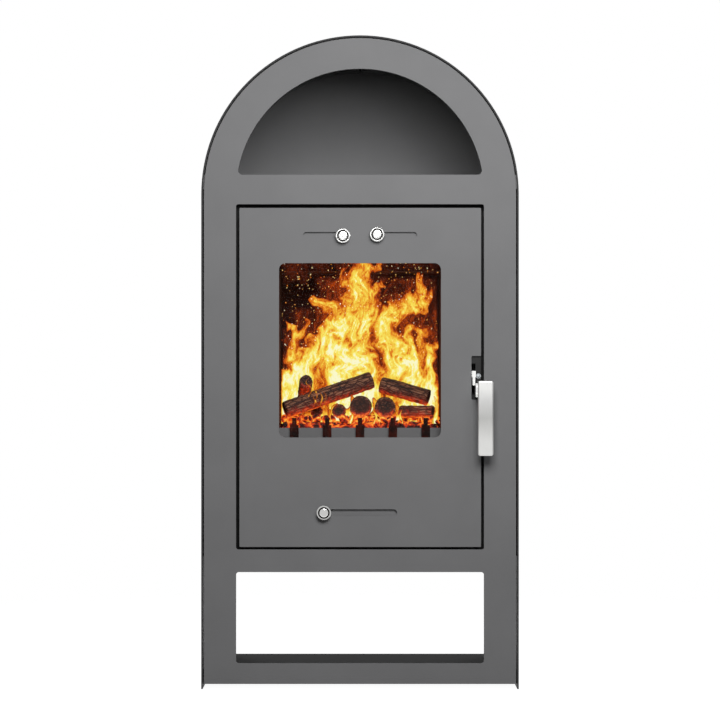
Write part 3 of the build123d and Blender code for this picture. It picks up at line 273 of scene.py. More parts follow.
@dataclass(frozen=True)
class PaintedSheenSteel(SatinSteel):
    """Satin steel of a grip, with painted sheen: lighter at its ends and darker in the middle, standing in for
    the reflections of a bent grip.
    """

    painted_shade_colour: str = "#b0b0ae"
    foot_z: float = 0.0
    head_z: float = 1.0

    def pattern(self, tree: Tree, place: Socket) -> dict[str, Any]:
        """The steel's scratches, and a painted sheen: a tone that changes along the grip, lighter at the ends
        and darker in the middle.

        Args:
            tree: The material's tree.
            place: Object coordinates.

        Returns:
            What fills the shader's inputs.
        """
        # Painted sheen: lighter at both ends of the grip and darker in the middle, as the reflections of a
        # bent grip would be.
        height = add_node(tree, "ShaderNodeSeparateXYZ", {0: place}).outputs["Z"]
        span = {"Value": height, "From Min": self.foot_z, "From Max": self.head_z}
        share = add_node(tree, "ShaderNodeMapRange", span)
        ends = ((0.0, "#dcdcda"), (0.2, "#d4d4d2"))
        tones = ends + ((0.5, self.painted_shade_colour), (0.72, "#bebebd"), (0.9, self.colour))
        tone = add_node(tree, "ShaderNodeValToRGB", {"Fac": share}, stops=tones)
        return super().pattern(tree, place) | {"Base Color": tone}


@dataclass(frozen=True)
class RecessShadedSteel(SatinSteel):
    """Turned stainless steel with painted shade: darker a little behind its front rim, where a recess lies in
    shade.
    """

    recess_shade_colour: str = "#2a2725"
    rim_y: float = 0.0
    shade_ramp_mm: float = 1.2

    def pattern(self, tree: Tree, place: Socket) -> dict[str, Any]:
        """The steel's scratches, and painted shade: a dark tone that starts a little behind the rim.

        Args:
            tree: The material's tree.
            place: Object coordinates.

        Returns:
            What fills the shader's inputs.
        """
        # Painted shade: dark from a little behind the front rim backwards, where the recess lies in shade.
        depth = add_node(tree, "ShaderNodeSeparateXYZ", {0: place}).outputs["Y"]
        span = {"Value": depth, "From Min": self.rim_y, "From Max": self.rim_y + self.shade_ramp_mm * MM}
        recess_shade = add_node(tree, "ShaderNodeMapRange", span)
        tones = ((0.25, self.colour), (1.0, self.recess_shade_colour))
        tone = add_node(tree, "ShaderNodeValToRGB", {"Fac": recess_shade}, stops=tones)
        return super().pattern(tree, place) | {"Base Color": tone}


@dataclass(frozen=True)
class ZincPlate(Finish):
    """Zinc plating: a thin bluish metal coat on turned and pressed steel, a little cloudy."""

    cloud_colour: str = "#8f9498"
    spangle_mm: float = 3.0

    def pattern(self, tree: Tree, place: Socket) -> dict[str, Any]:
        """Crystal-like patches of two tones.

        Args:
            tree: The material's tree.
            place: Object coordinates.

        Returns:
            What fills the shader's inputs.
        """
        spangle = add_node(
            tree, "ShaderNodeTexVoronoi", {"Vector": place, "Scale": per_metre(self.spangle_mm)}
        )
        shade = add_node(tree, "ShaderNodeSeparateColor", {"Color": spangle.outputs["Color"]}).outputs
        tones = ((0.0, self.colour), (1.0, self.cloud_colour))
        sheen = {"Value": shade["Green"], "To Min": self.roughness - 0.05, "To Max": self.roughness + 0.1}
        return {
            "Base Color": add_node(tree, "ShaderNodeValToRGB", {"Fac": shade["Red"]}, stops=tones),
            "Roughness": add_node(tree, "ShaderNodeMapRange", sheen),
        }


@dataclass(frozen=True)
class CastIron(Finish):
    """Sand-cast iron in a fire: coarse skin, black with brown scale, whose red tone is partly painted
    firelight.
    """

    scale_and_firelight_colour: str = "#48160c"
    skin_mm: float = 1.8
    skin_depth_mm: float = 0.3
    scale_mm: float = 16.2
    gloss: float = 0.12

    def pattern(self, tree: Tree, place: Socket) -> dict[str, Any]:
        """Sand-grain bumps and patches of brown scale, reddened as painted firelight.

        Args:
            tree: The material's tree.
            place: Object coordinates.

        Returns:
            What fills the shader's inputs.
        """
        grains = {"Vector": place, "Scale": per_metre(self.skin_mm), "Detail": 4.0, "Roughness": 0.6}
        skin = add_node(tree, "ShaderNodeTexNoise", grains)
        patches = add_node(tree, "ShaderNodeTexNoise", {"Vector": place, "Scale": per_metre(self.scale_mm)})
        tones = ((0.4, self.colour), (0.62, self.scale_and_firelight_colour))
        relief = {"Height": skin, "Strength": 0.8, "Distance": self.skin_depth_mm * MM}
        return {
            "Base Color": add_node(tree, "ShaderNodeValToRGB", {"Fac": patches}, stops=tones),
            "Specular IOR Level": self.gloss,
            "Normal": add_node(tree, "ShaderNodeBump", relief),
        }


@dataclass(frozen=True)
class FireBoard(Finish):
    """Pressed vermiculite board: flakes of mica in a tan binder, darkened by soot, with a dark red tint that
    is painted firelight.
    """

    flake_colour: str = "#5c2416"
    flake_mm: float = 3.5
    flake_height_mm: float = 0.4
    soot_mm: float = 60.0

    def pattern(self, tree: Tree, place: Socket) -> dict[str, Any]:
        """Flat flakes of two tones under patches of soot, with a shallow crumbly relief.

        Args:
            tree: The material's tree.
            place: Object coordinates.

        Returns:
            What fills the shader's inputs.
        """
        flakes = add_node(tree, "ShaderNodeTexVoronoi", {"Vector": place, "Scale": per_metre(self.flake_mm)})
        tone = add_node(tree, "ShaderNodeSeparateColor", {"Color": flakes.outputs["Color"]}).outputs
        patches = {"Vector": place, "Scale": per_metre(self.soot_mm), "Detail": 4.0}
        soot = add_node(tree, "ShaderNodeTexNoise", patches)
        shown = add_node(tree, "ShaderNodeMath", {0: tone["Red"], 1: soot}, operation="MULTIPLY")
        tones = ((0.05, self.colour), (0.6, self.flake_colour))
        relief = {"Height": tone["Blue"], "Strength": 0.5, "Distance": self.flake_height_mm * MM}
        return {
            "Base Color": add_node(tree, "ShaderNodeValToRGB", {"Fac": shown}, stops=tones),
            "Normal": add_node(tree, "ShaderNodeBump", relief),
        }


@dataclass(frozen=True)
class ClearGlass(Finish):
    """Glass-ceramic pane: 4 mm thick, with a very faint warm tint and a hard gloss."""

    haze_colour: str = "#3c2a22"
    haze_mm: float = 45.0
    opacity: float = 0.05

    def pattern(self, tree: Tree, place: Socket) -> dict[str, Any]:
        """Light haze of fly ash, which is all that tells the pane from air.

        Args:
            tree: The material's tree.
            place: Object coordinates.

        Returns:
            What fills the shader's inputs.
        """
        clouds = {"Vector": place, "Scale": per_metre(self.haze_mm), "Detail": 3.0}
        haze = add_node(tree, "ShaderNodeTexNoise", clouds)
        tones = ((0.35, self.colour), (0.8, self.haze_colour))
        tint = add_node(tree, "ShaderNodeValToRGB", {"Fac": haze}, stops=tones)
        return {"Base Color": tint, "Alpha": self.opacity}


@dataclass(frozen=True)
class GlassFibre(Finish):
    """Knitted glass-fibre rope or tape, dyed black, with fibres that catch a little light."""

    light_colour: str = "#3a3a3b"
    yarn_mm: float = 1.1
    yarn_height_mm: float = 0.5

    def pattern(self, tree: Tree, place: Socket) -> dict[str, Any]:
        """Slanted yarns that cross, as a relief and as two tones.

        Args:
            tree: The material's tree.
            place: Object coordinates.

        Returns:
            What fills the shader's inputs.
        """
        scale = per_metre(self.yarn_mm) / (2 * math.pi)
        knit = {"Vector": place, "Scale": scale, "Distortion": 2.0, "Detail": 1.0}
        yarns = add_node(tree, "ShaderNodeTexWave", knit, bands_direction="DIAGONAL").outputs["Fac"]
        tones = ((0.2, self.colour), (0.9, self.light_colour))
        relief = {"Height": yarns, "Strength": 0.8, "Distance": self.yarn_height_mm * MM}
        return {
            "Base Color": add_node(tree, "ShaderNodeValToRGB", {"Fac": yarns}, stops=tones),
            "Normal": add_node(tree, "ShaderNodeBump", relief),
        }


@dataclass(frozen=True)
class CharredBark(Finish):
    """Burning firewood: bark turned to charcoal along the log, cracked into blocks, aglow near the embers,
    partly with painted firelight.
    """

    brown_colour: str = "#4e281b"
    streak_colour: str = "#b07a5c"
    streak_mm: tuple[float, float, float] = (2.2, 2.2, 26.0)
    block_mm: tuple[float, float, float] = (8.0, 8.0, 14.0)
    ember_mm: float = 6.0
    bark_height_mm: float = 0.9

    def pattern(self, tree: Tree, place: Socket) -> dict[str, Any]:
        """Ash-grey streaks along each log, dark cracks between blocks, and the glow of its attribute.

        Args:
            tree: The material's tree.
            place: Object coordinates, which each log's own coordinates stand in for.

        Returns:
            What fills the shader's inputs.
        """
        own = add_node(tree, "ShaderNodeAttribute", attribute_name="log_place").outputs["Vector"]
        along, squared = (
            add_node(tree, "ShaderNodeMapping", {"Vector": own, "Scale": [per_metre(size) for size in sizes]})
            for sizes in (self.streak_mm, self.block_mm)
        )
        fibres = {"Vector": along, "Scale": 1.0, "Detail": 5.0, "Roughness": 0.65}
        streaks = add_node(tree, "ShaderNodeTexNoise", fibres)
        blocks = {"Vector": squared, "Scale": 1.0}
        cracks = add_node(tree, "ShaderNodeTexVoronoi", blocks, feature="DISTANCE_TO_EDGE")
        gaps = {"Value": cracks, "From Max": 0.12, "To Min": 0.16, "To Max": 0.0}
        open_wood = add_node(tree, "ShaderNodeMapRange", gaps)
        both = {0: streaks, 1: open_wood}
        shade = add_node(tree, "ShaderNodeMath", both, operation="SUBTRACT", use_clamp=True)
        ends = add_node(tree, "ShaderNodeAttribute", attribute_name="end_grain").outputs["Fac"]
        burnt = {0: ends, 1: -0.1, 2: shade}
        charred = add_node(tree, "ShaderNodeMath", burnt, operation="MULTIPLY_ADD", use_clamp=True)
        heat = add_node(tree, "ShaderNodeAttribute", attribute_name="glow").outputs["Fac"]
        specks = {"Vector": own, "Scale": per_metre(self.ember_mm), "Detail": 4.0, "Roughness": 0.6}
        embers = add_node(tree, "ShaderNodeTexNoise", specks)
        uneven = {"Value": embers, "From Min": 0.3, "From Max": 0.7, "To Min": 0.45, "To Max": 1.2}
        change = add_node(tree, "ShaderNodeMapRange", uneven)
        lit = add_node(tree, "ShaderNodeMath", {0: heat, 1: change}, operation="MULTIPLY")
        inside = {0: open_wood, 1: heat, 2: lit}
        deep = add_node(tree, "ShaderNodeMath", inside, operation="MULTIPLY_ADD", use_clamp=True)
        tones = ((0.3, self.colour), (0.48, self.brown_colour), (0.64, self.streak_colour))
        glows = ((0.2, "#000000"), (0.4, "#3c0a04"), (0.6, "#941f08"), (0.8, "#dc4a0e"), (1.0, "#ff8a2a"))
        relief = {"Height": shade, "Strength": 0.8, "Distance": self.bark_height_mm * MM}
        return {
            "Base Color": add_node(tree, "ShaderNodeValToRGB", {"Fac": charred}, stops=tones),
            "Emission Color": add_node(tree, "ShaderNodeValToRGB", {"Fac": deep}, stops=glows),
            "Emission Strength": 1.0,
            "Normal": add_node(tree, "ShaderNodeBump", relief),
        }


@dataclass(frozen=True)
class GlowingCoals(Finish):
    """Embers: lumps of charcoal with a grey ash skin, glowing from inside."""

    lump_mm: float = 13.0
    lump_height_mm: float = 0.8
    foot_z: float = 0.0
    cool_mm: float = 9.0
    brightness: float = 1.1

    def pattern(self, tree: Tree, place: Socket) -> dict[str, Any]:
        """Glow that runs from black crust to orange, in patches and in fine cracks.

        Args:
            tree: The material's tree.
            place: Object coordinates.

        Returns:
            What fills the shader's inputs.
        """
        lumps = {"Vector": place, "Scale": per_metre(self.lump_mm)}
        patches = add_node(tree, "ShaderNodeTexNoise", lumps | {"Detail": 5.0, "Roughness": 0.65})
        cracks = add_node(tree, "ShaderNodeTexVoronoi", lumps, feature="DISTANCE_TO_EDGE")
        gaps = {"Value": cracks, "From Max": 0.2, "To Min": 0.16, "To Max": -0.08}
        near = add_node(tree, "ShaderNodeMapRange", gaps)
        rise = {
            "Value": add_node(tree, "ShaderNodeSeparateXYZ", {0: place}).outputs["Z"],
            "From Min": self.foot_z,
            "From Max": self.foot_z + self.cool_mm * MM,
            "To Min": -0.12,
            "To Max": 0.02,
        }
        cooling = add_node(tree, "ShaderNodeMapRange", rise)
        warm = add_node(tree, "ShaderNodeMath", {0: patches, 1: cooling}, operation="ADD")
        heat = add_node(tree, "ShaderNodeMath", {0: warm, 1: near}, operation="ADD", use_clamp=True)
        glows = (
            (0.34, "#1c0403"),
            (0.44, "#6a1005"),
            (0.53, "#c8330a"),
            (0.62, "#f56c14"),
            (0.74, "#ffb43c"),
            (0.86, "#ffe884"),
        )
        relief = {"Height": patches, "Strength": 0.7, "Distance": self.lump_height_mm * MM}
        return {
            "Emission Color": add_node(tree, "ShaderNodeValToRGB", {"Fac": heat}, stops=glows),
            "Emission Strength": self.brightness,
            "Normal": add_node(tree, "ShaderNodeBump", relief),
        }


@dataclass(frozen=True)
class BurningGas(Finish):
    """Flame: soot that glows in burning gas, from deep red at the edge to pale yellow in the core."""

    wisp_mm: tuple[float, float, float] = (7.0, 7.0, 16.8)
    brightness: float = 1.06
    edge_heat: float = 0.08
    solid_heat: float = 0.24

    def pattern(self, tree: Tree, place: Socket) -> dict[str, Any]:
        """Colour and cover from the burning attribute, broken up by fine upright wisps.

        Args:
            tree: The material's tree.
            place: Object coordinates.

        Returns:
            What fills the shader's inputs.
        """
        heat = add_node(tree, "ShaderNodeAttribute", attribute_name="burning").outputs["Fac"]
        scale = [per_metre(size) for size in self.wisp_mm]
        stretched = add_node(tree, "ShaderNodeMapping", {"Vector": place, "Scale": scale})
        threads = {"Vector": stretched, "Scale": 1.0, "Detail": 2.0, "Distortion": 2.2}
        wisps = add_node(tree, "ShaderNodeTexNoise", threads)
        crest = add_node(tree, "ShaderNodeMath", {0: wisps, 1: 0.5}, operation="PINGPONG")
        ridges = {"Value": crest, "From Min": 0.36, "From Max": 0.5, "To Min": -0.05, "To Max": 0.09}
        change = add_node(tree, "ShaderNodeMapRange", ridges)
        total = add_node(tree, "ShaderNodeMath", {0: heat, 1: change}, operation="ADD", use_clamp=True)
        glows = (
            (0.0, "#33110b"),
            (0.1, "#55200f"),
            (0.2, "#8a300e"),
            (0.3, "#bd4c10"),
            (0.4, "#de781c"),
            (0.5, "#ee9e2c"),
            (0.6, "#f6c03e"),
            (0.7, "#fad950"),
            (0.8, "#fdeb68"),
            (0.9, "#fef595"),
            (1.0, "#fffcd0"),
        )
        cover = {"Value": heat, "From Min": self.edge_heat, "From Max": self.solid_heat}
        return {
            "Emission Color": add_node(tree, "ShaderNodeValToRGB", {"Fac": total}, stops=glows),
            "Emission Strength": self.brightness,
            "Specular IOR Level": 0.0,
            "Alpha": add_node(tree, "ShaderNodeMapRange", cover),
        }


@dataclass(frozen=True)
class Spark(Finish):
    """Flying spark: a speck of burning charcoal."""

    patch_mm: float = 12.0
    brightness: float = 1.3

    def pattern(self, tree: Tree, place: Socket) -> dict[str, Any]:
        """Colour that changes from speck to speck between red and pale yellow.

        Args:
            tree: The material's tree.
            place: Object coordinates.

        Returns:
            What fills the shader's inputs.
        """
        which = add_node(tree, "ShaderNodeTexNoise", {"Vector": place, "Scale": per_metre(self.patch_mm)})
        glows = ((0.32, "#d0480c"), (0.46, "#ff9a30"), (0.58, "#ffe08a"), (0.66, "#fff8e0"))
        glow = add_node(tree, "ShaderNodeValToRGB", {"Fac": which}, stops=glows)
        return {"Emission Color": glow, "Emission Strength": self.brightness}


@dataclass(frozen=True)
class StudioFloor(Finish):
    """Pale matt floor, bright enough to meet the white behind the stove, with only a soft shadow on it."""

    clear_radius: float = 0.45
    end_radius: float = 1.3
    brightness: float = 0.97

    def pattern(self, tree: Tree, place: Socket) -> dict[str, Any]:
        """Fades the floor out with the distance from the stove, and lifts it to white where it is seen.

        Args:
            tree: The material's tree.
            place: Object coordinates.

        Returns:
            What fills the shader's inputs.
        """
        seen = add_node(tree, "ShaderNodeLightPath").outputs
        lift = {"Value": seen["Is Diffuse Ray"], "To Min": self.brightness, "To Max": 0.0}
        distance = add_node(tree, "ShaderNodeVectorMath", {0: place}, operation="LENGTH").outputs["Value"]
        span = {"Value": distance, "From Min": self.clear_radius, "From Max": self.end_radius}
        fade = span | {"To Min": 1.0, "To Max": 0.0}
        return {
            "Emission Color": linear(WHITE),
            "Emission Strength": add_node(tree, "ShaderNodeMapRange", lift),
            "Alpha": add_node(tree, "ShaderNodeMapRange", fade, interpolation_type="SMOOTHSTEP"),
        }


GREY_PAINT = HeatPaint("matt_grey_stove_paint", "#787879", 0.6, cloud_colour="#737374")
# Paint of the casing sheets, with painted shade along their front edge.
WRAP_PAINT = EdgeShadedPaint(
    "matt_grey_paint_with_painted_edge_shade",
    GREY_PAINT.colour,
    GREY_PAINT.roughness,
    cloud_colour=GREY_PAINT.cloud_colour,
    edge_y=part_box("casing_arch")[0].y,
)
# Painted light: the same grey paint made lighter on the back sheet, so that the niche's back wall looks more
# brightly lit.
LIGHTENED_BACK_PAINT = HeatPaint("grey_paint_lightened_as_painted_light", "#8a8a8b", 0.6, cloud_colour="#868687", gloss=0.1)
# Painted shade: a dark copy of the grey paint for the log store's floor, which lies in shade under the
# firebox.
PAINTED_SHADE_DARK_PAINT = HeatPaint("dark_grey_paint_as_painted_shade", "#222223", 0.7, cloud_colour="#202021", gloss=0.1)
SLIDER_PAINT = HeatPaint("matt_grey_slider_paint", "#767677", 0.55, cloud_colour="#727273")
BLACK_PAINT = HeatPaint("matt_black_stove_paint", "#171717", 0.6, cloud_colour="#1d1d1d")
SATIN_STEEL = SatinSteel("satin_ground_stainless_steel", "#d4d4d2", 0.34, 1.0)
# Grip steel with painted sheen along its length.
GRIP_STEEL = PaintedSheenSteel(
    "satin_steel_of_the_grip_with_painted_sheen",
    "#d2d2d0",
    0.34,
    1.0,
    foot_z=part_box("handle_grip")[0].z,
    head_z=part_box("handle_grip")[1].z,
)
KNOB_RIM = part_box("knob_cup_left")[0].y
KNOB_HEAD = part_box("knob_screw_left")[0].y
# Knob cups and screw heads carry painted shade behind their front rims.
TURNED_STEEL = RecessShadedSteel(
    "turned_stainless_steel_with_painted_recess_shade", "#e6e6e4", 0.11, 1.0, scratch_length_mm=2.0, rim_y=KNOB_RIM, shade_ramp_mm=2.4
)
POLISHED_HEAD = RecessShadedSteel(
    "polished_stainless_screw_head_with_painted_shade", "#f2f2f0", 0.11, 1.0, scratch_length_mm=2.0, rim_y=KNOB_HEAD
)
ZINC = ZincPlate("bright_zinc_plating", "#b4b8ba", 0.36, 1.0)
BLACK_ZINC = ZincPlate("black_passivated_zinc", "#1c1c1e", 0.42, 1.0, cloud_colour="#161618")
GALVANISED = ZincPlate("hot_dip_galvanised_sheet", "#a0a4a6", 0.45, 1.0, spangle_mm=11.0)
# Cast iron whose red-brown scale is partly painted firelight.
CAST_IRON = CastIron("scorched_cast_iron_with_painted_firelight", "#120504", 0.8)
# Painted firelight: the board's colours are tinted dark red, as the fire would light them.
FIRE_BOARD = FireBoard("sooted_vermiculite_board_with_painted_firelight", "#300f0a", 0.9)
PANE = ClearGlass("glass_ceramic_pane", "#1e1512", 0.08)
ROPE = GlassFibre("black_glass_fibre_rope", "#101010", 0.95)
CHARRED_BARK = CharredBark("charred_bark", "#160a07", 0.85)
COALS = GlowingCoals("glowing_coals", "#0d0505", 0.95, foot_z=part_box("hearth_sill")[1].z)
FLAME = BurningGas("burning_gas", "#000000", 1.0)
DULL_FLAME = BurningGas("smoky_burning_gas", "#000000", 1.0, edge_heat=0.01, solid_heat=0.12)
THIN_FLAME = BurningGas("thin_bright_gas", "#000000", 1.0, edge_heat=0.16, solid_heat=0.85)
SPARK = Spark("flying_sparks", "#000000", 1.0)
FLOOR = StudioFloor("pale_studio_floor", "#6c6c6c", 0.9)


# Mesh helpers
def new_mesh_object(name: str, points: Any, faces: Any, finish: Finish) -> bpy.types.Object:
    """Makes a mesh object at the origin with one finish.

    Args:
        name: Name of the piece.
        points: Corner places in metres.
        faces: Corner numbers of each face, counter-clockwise seen from outside.
        finish: Finish of the whole piece.

    Returns:
        The object, linked to the scene.
    """
    mesh = bpy.data.meshes.new(name)
    mesh.from_pydata([tuple(p) for p in points], [], [tuple(int(i) for i in f) for f in faces])
    mesh.materials.append(finish.material())
    piece = bpy.data.objects.new(name, mesh)
    bpy.context.scene.collection.objects.link(piece)
    return piece


def set_attribute(piece: bpy.types.Object, name: str, values: np.ndarray) -> None:
    """Stores one number for each corner of a mesh.

    Args:
        piece: Mesh object.
        name: Name that materials read.
        values: One value for each corner point.
    """
    attribute = piece.data.attributes.new(name, "FLOAT", "POINT")
    attribute.data.foreach_set("value", np.asarray(values, dtype=np.float32))


def smooth(piece: bpy.types.Object) -> None:
    """Shades every face of a mesh smoothly."""
    piece.data.polygons.foreach_set("use_smooth", [True] * len(piece.data.polygons))


def seat(piece: bpy.types.Object, body: Body, slot: str, *replaced: str) -> bpy.types.Object:
    """Ties a finished piece to its body and hides the CAD nodes that it stands for.

    Args:
        piece: Finished object in its place.
        body: Body that carries it.
        slot: Material slot of the record; not used.
        replaced: CAD nodes that are hidden for it.

    Returns:
        The same object.
    """
    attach(piece, body.value)
    if replaced:
        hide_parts(*replaced)
    log.info("built %s: %d faces on %s", piece.name, len(piece.data.polygons), body.value)
    return piece


def dress(finish: Finish, nodes: Sequence[str], edge_mm: float = 0.0) -> None:
    """Gives CAD nodes a finish, and a small round on their sharp edges where one is asked for.

    Args:
        finish: Finish of the nodes.
        nodes: Node names.
        edge_mm: Width of the edge round, or 0 for none.
    """
    for name in nodes:
        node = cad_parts[name]
        node.data.materials.clear()
        node.data.materials.append(finish.material())
        if edge_mm:
            weld = node.modifiers.new("join_corners", "WELD")
            weld.merge_threshold = 0.001 * MM
            edge = node.modifiers.new("edge_round", "BEVEL")
            edge.width = edge_mm * MM
            edge.segments = 2
            edge.limit_method = "ANGLE"
            edge.angle_limit = math.radians(35)
            edge.harden_normals = True
        log.info("dressed %s as %s", name, finish.name)


def islands(node: str) -> list[np.ndarray]:
    """Corner points of each separate solid of a CAD node.

    Args:
        node: Node name.

    Returns:
        One array of places for each solid, in metres.
    """
    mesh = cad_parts[node].data
    points = np.array([v.co for v in mesh.vertices])
    keys = {}
    first = [keys.setdefault(tuple(np.round(p, 6)), i) for i, p in enumerate(points)]
    parent = list(range(len(points)))

    def root(i: int) -> int:
        """Number that stands for the group of a corner.

        Args:
            i: Number of the corner.

        Returns:
            Number of the group's first corner.
        """
        while parent[i] != i:
            parent[i] = parent[parent[i]]
            i = parent[i]
        return i

    for polygon in mesh.polygons:
        corners = [first[i] for i in polygon.vertices]
        for corner in corners[1:]:
            parent[root(corner)] = root(corners[0])
    groups: dict[int, list[int]] = {}
    for i in sorted(set(first)):
        groups.setdefault(root(i), []).append(i)
    return [points[g] for g in groups.values()]


# Smooth noise
def gradient_noise(x: np.ndarray, z: np.ndarray, seed: int) -> np.ndarray:
    """Smooth seeded noise on a plane.

    Args:
        x: First coordinate, in units of one bump.
        z: Second coordinate, in the same units.
        seed: Which noise it is.

    Returns:
        Values from about 0 to 1, around 0.5.
    """
    angles = np.random.default_rng(seed).random((256, 256)) * 2 * math.pi
    x_cell, z_cell = np.floor(x).astype(int), np.floor(z).astype(int)
    x_part, z_part = x - x_cell, z - z_cell
    x_ease = x_part**3 * (x_part * (x_part * 6 - 15) + 10)
    z_ease = z_part**3 * (z_part * (z_part * 6 - 15) + 10)

    def corner(dx: int, dz: int) -> np.ndarray:
        """Pull of one corner of each cell."""
        angle = angles[(z_cell + dz) % 256, (x_cell + dx) % 256]
        return np.cos(angle) * (x_part - dx) + np.sin(angle) * (z_part - dz)

    low = corner(0, 0) * (1 - x_ease) + corner(1, 0) * x_ease
    high = corner(0, 1) * (1 - x_ease) + corner(1, 1) * x_ease
    return 0.5 + 0.7 * (low * (1 - z_ease) + high * z_ease)


def layered_noise(x: np.ndarray, z: np.ndarray, seed: int, layers: int = 4) -> np.ndarray:
    """Noise of several sizes added up.

    Args:
        x: First coordinate, in units of the largest bump.
        z: Second coordinate, in the same units.
        seed: Which noise it is.
        layers: Number of sizes, each half as large as the one before.

    Returns:
        Values from about 0 to 1.
    """
    total, weight, share = np.zeros_like(x, dtype=float), 0.0, 1.0
    for layer in range(layers):
        total += share * gradient_noise(x * 2**layer, z * 2**layer, seed + layer)
        weight += share
        share /= 2
    return total / weight


def ridged_noise(x: np.ndarray, z: np.ndarray, seed: int, layers: int, sharpness: float) -> np.ndarray:
    """Noise that stands up in thin winding ridges, as the bright threads in a flame do.

    Args:
        x: First coordinate, in units of the largest bump.
        z: Second coordinate, in the same units.
        seed: Which noise it is.
        layers: Number of sizes, each half as large as the one before.
        sharpness: How narrow the ridges are.

    Returns:
        Values from 0, between the ridges, to 1 on them.
    """
    total, weight, share = np.zeros_like(x, dtype=float), 0.0, 1.0
    for layer in range(layers):
        rise = np.abs(2 * gradient_noise(x * 2**layer, z * 2**layer, seed + layer) - 1)
        total += share * np.clip(1 - sharpness * rise, 0, 1)
        weight += share
        share *= 0.6
    return total / weight


def swirl(
    x: np.ndarray, z: np.ndarray, size: float, reach: np.ndarray, seed: int, steps: int = 4
) -> tuple[np.ndarray, np.ndarray]:
    """Carries points round the whirls of a smooth noise, as smoke is carried by eddies.

    Args:
        x: First coordinate, in millimetres.
        z: Second coordinate.
        size: Size of a whirl.
        reach: How far the points go, at each of them.
        seed: Which whirls they are.
        steps: Number of steps.

    Returns:
        The new coordinates.
    """
    near = 0.5
    for _ in range(steps):
        above = gradient_noise(x / size, (z + near) / (1.3 * size), seed)
        below = gradient_noise(x / size, (z - near) / (1.3 * size), seed)
        right = gradient_noise((x + near) / size, z / (1.3 * size), seed)
        left = gradient_noise((x - near) / size, z / (1.3 * size), seed)
        step = size * reach / steps / (2 * near)
        x, z = x + (above - below) * step, z - (right - left) * step
    return x, z


# The fire
@dataclass(frozen=True)
class Tongue:
    """One tongue of a flame.

    Attributes:
        line: Points of its middle line from root to tip, in millimetres across and above the floor, as they
            show through the window on the plane of the door.
        girth_mm: Half its width at the root.
        heat: Brightness, 1 for the hottest.
    """

    line: tuple[tuple[float, float], ...]
    girth_mm: float
    heat: float = 1.0

    def samples(self, count: int = 26) -> list[tuple[float, float, float]]:
        """Points along a smooth curve through the line.

        Args:
            count: Number of points.

        Returns:
            Place across, place above the floor, and share of the way from the root.
        """
        points = np.array(self.line)
        steps = np.linspace(0, len(points) - 1, count)
        padded = np.vstack([2 * points[0] - points[1], points, 2 * points[-1] - points[-2]])
        found = []
        for step in steps:
            i = min(int(step), len(points) - 2)
            t = step - i
            a, b, c, d = padded[i : i + 4]
            bend, twist = 2 * a - 5 * b + 4 * c - d, 3 * b - a - 3 * c + d
            place = 0.5 * (2 * b + (c - a) * t + bend * t**2 + twist * t**3)
            found.append((place[0], place[1], step / (len(points) - 1)))
        return found

    def reach(self, x: np.ndarray, z: np.ndarray, taper: float, cooling: float) -> np.ndarray:
        """How far inside the tongue each point of a grid lies.

        Args:
            x: Places across, in millimetres.
            z: Places above the floor.
            taper: Share of the girth that is gone at the tip.
            cooling: Share of the heat that is gone at the tip.

        Returns:
            The tongue's heat on its line, falling to 0 at its girth.
        """
        best = np.zeros_like(x)
        for place_x, place_z, share in self.samples():
            girth = self.girth_mm * (1 - taper * share) ** 0.8
            away = ((x - place_x) ** 2 + (z - place_z) ** 2) / girth**2
            best = np.maximum(best, (1 - away) * self.heat * (1 - cooling * share))
        return best


@dataclass(frozen=True)
class Curtain:
    """A sheet of bright flame tongues that run together into one body of gas.

    Attributes:
        name: Name of the piece.
        tongues: Its tongues.
        root_y: Depth of its root, in metres.
        tip_y: Depth of its highest point.
        seed: Which swirls it has.
        liveliness: Strength of the swirls, 1 for a lively fire.
        thickness_mm: Half its greatest thickness.
        cell_mm: Grid spacing of its mesh.
        finish: Its finish.
        calm_mm: Height below which the gas hardly swirls.
        free_mm: Rise over which the swirls reach their full strength.
        bright_mm: Height at which the bright core has died down.
        bright_rise_mm: Rise over which it does so.
    """

    name: str
    tongues: tuple[Tongue, ...]
    root_y: float
    tip_y: float
    seed: int
    liveliness: float = 1.0
    thickness_mm: float = 8.0
    cell_mm: float = 1.25
    finish: BurningGas = FLAME
    calm_mm: float = 385.0
    free_mm: float = 70.0
    bright_mm: float = 505.0
    bright_rise_mm: float = 100.0

    def heat(self, x: np.ndarray, z: np.ndarray) -> np.ndarray:
        """Heat at each point of a grid: the tongues, swirled, with bright threads and darker holes.

        Args:
            x: Places across, in millimetres.
            z: Places above the floor.

        Returns:
            Heat from 0 to 1.
        """
        free = self.liveliness * np.clip((z - self.calm_mm) / self.free_mm, 0.3, 1)
        wide_x, wide_z = swirl(*swirl(x, z, 62, 11 * free, self.seed), 27, 8 * free, self.seed + 7)
        near_x, near_z = swirl(wide_x, wide_z, 12, 4.5 * free, self.seed + 14)
        fine_x, fine_z = swirl(near_x, near_z, 6, 2.2 * free, self.seed + 21)
        cold = np.ones_like(x)
        for tongue in self.tongues:
            cold *= 1 - np.clip(tongue.reach(near_x, near_z, 0.82, 0.3), 0, 0.97)
        body = 1 - cold
        threads = 0.55 * ridged_noise(fine_x / 13, fine_z / 34, self.seed + 60, 2, 2.2) ** 1.5
        threads += 0.45 * ridged_noise(fine_x / 6 + 9, fine_z / 15, self.seed + 70, 2, 2.4) ** 1.5
        broad = layered_noise(wide_x / 22, wide_z / 30, self.seed + 40, 3) - 0.5
        holes = layered_noise(near_x / 10, near_z / 15, self.seed + 80, 2) - 0.5
        core = np.clip((body - 0.7) / 0.3, 0, 1)
        low = np.clip((self.bright_mm - z) / self.bright_rise_mm, 0, 1)
        heat = body**0.8 * (0.38 + 0.75 * broad + 0.55 * holes + 0.78 * threads)
        return np.clip(heat + core * (0.16 + low * (0.14 - 0.08 * threads)), 0, 1)


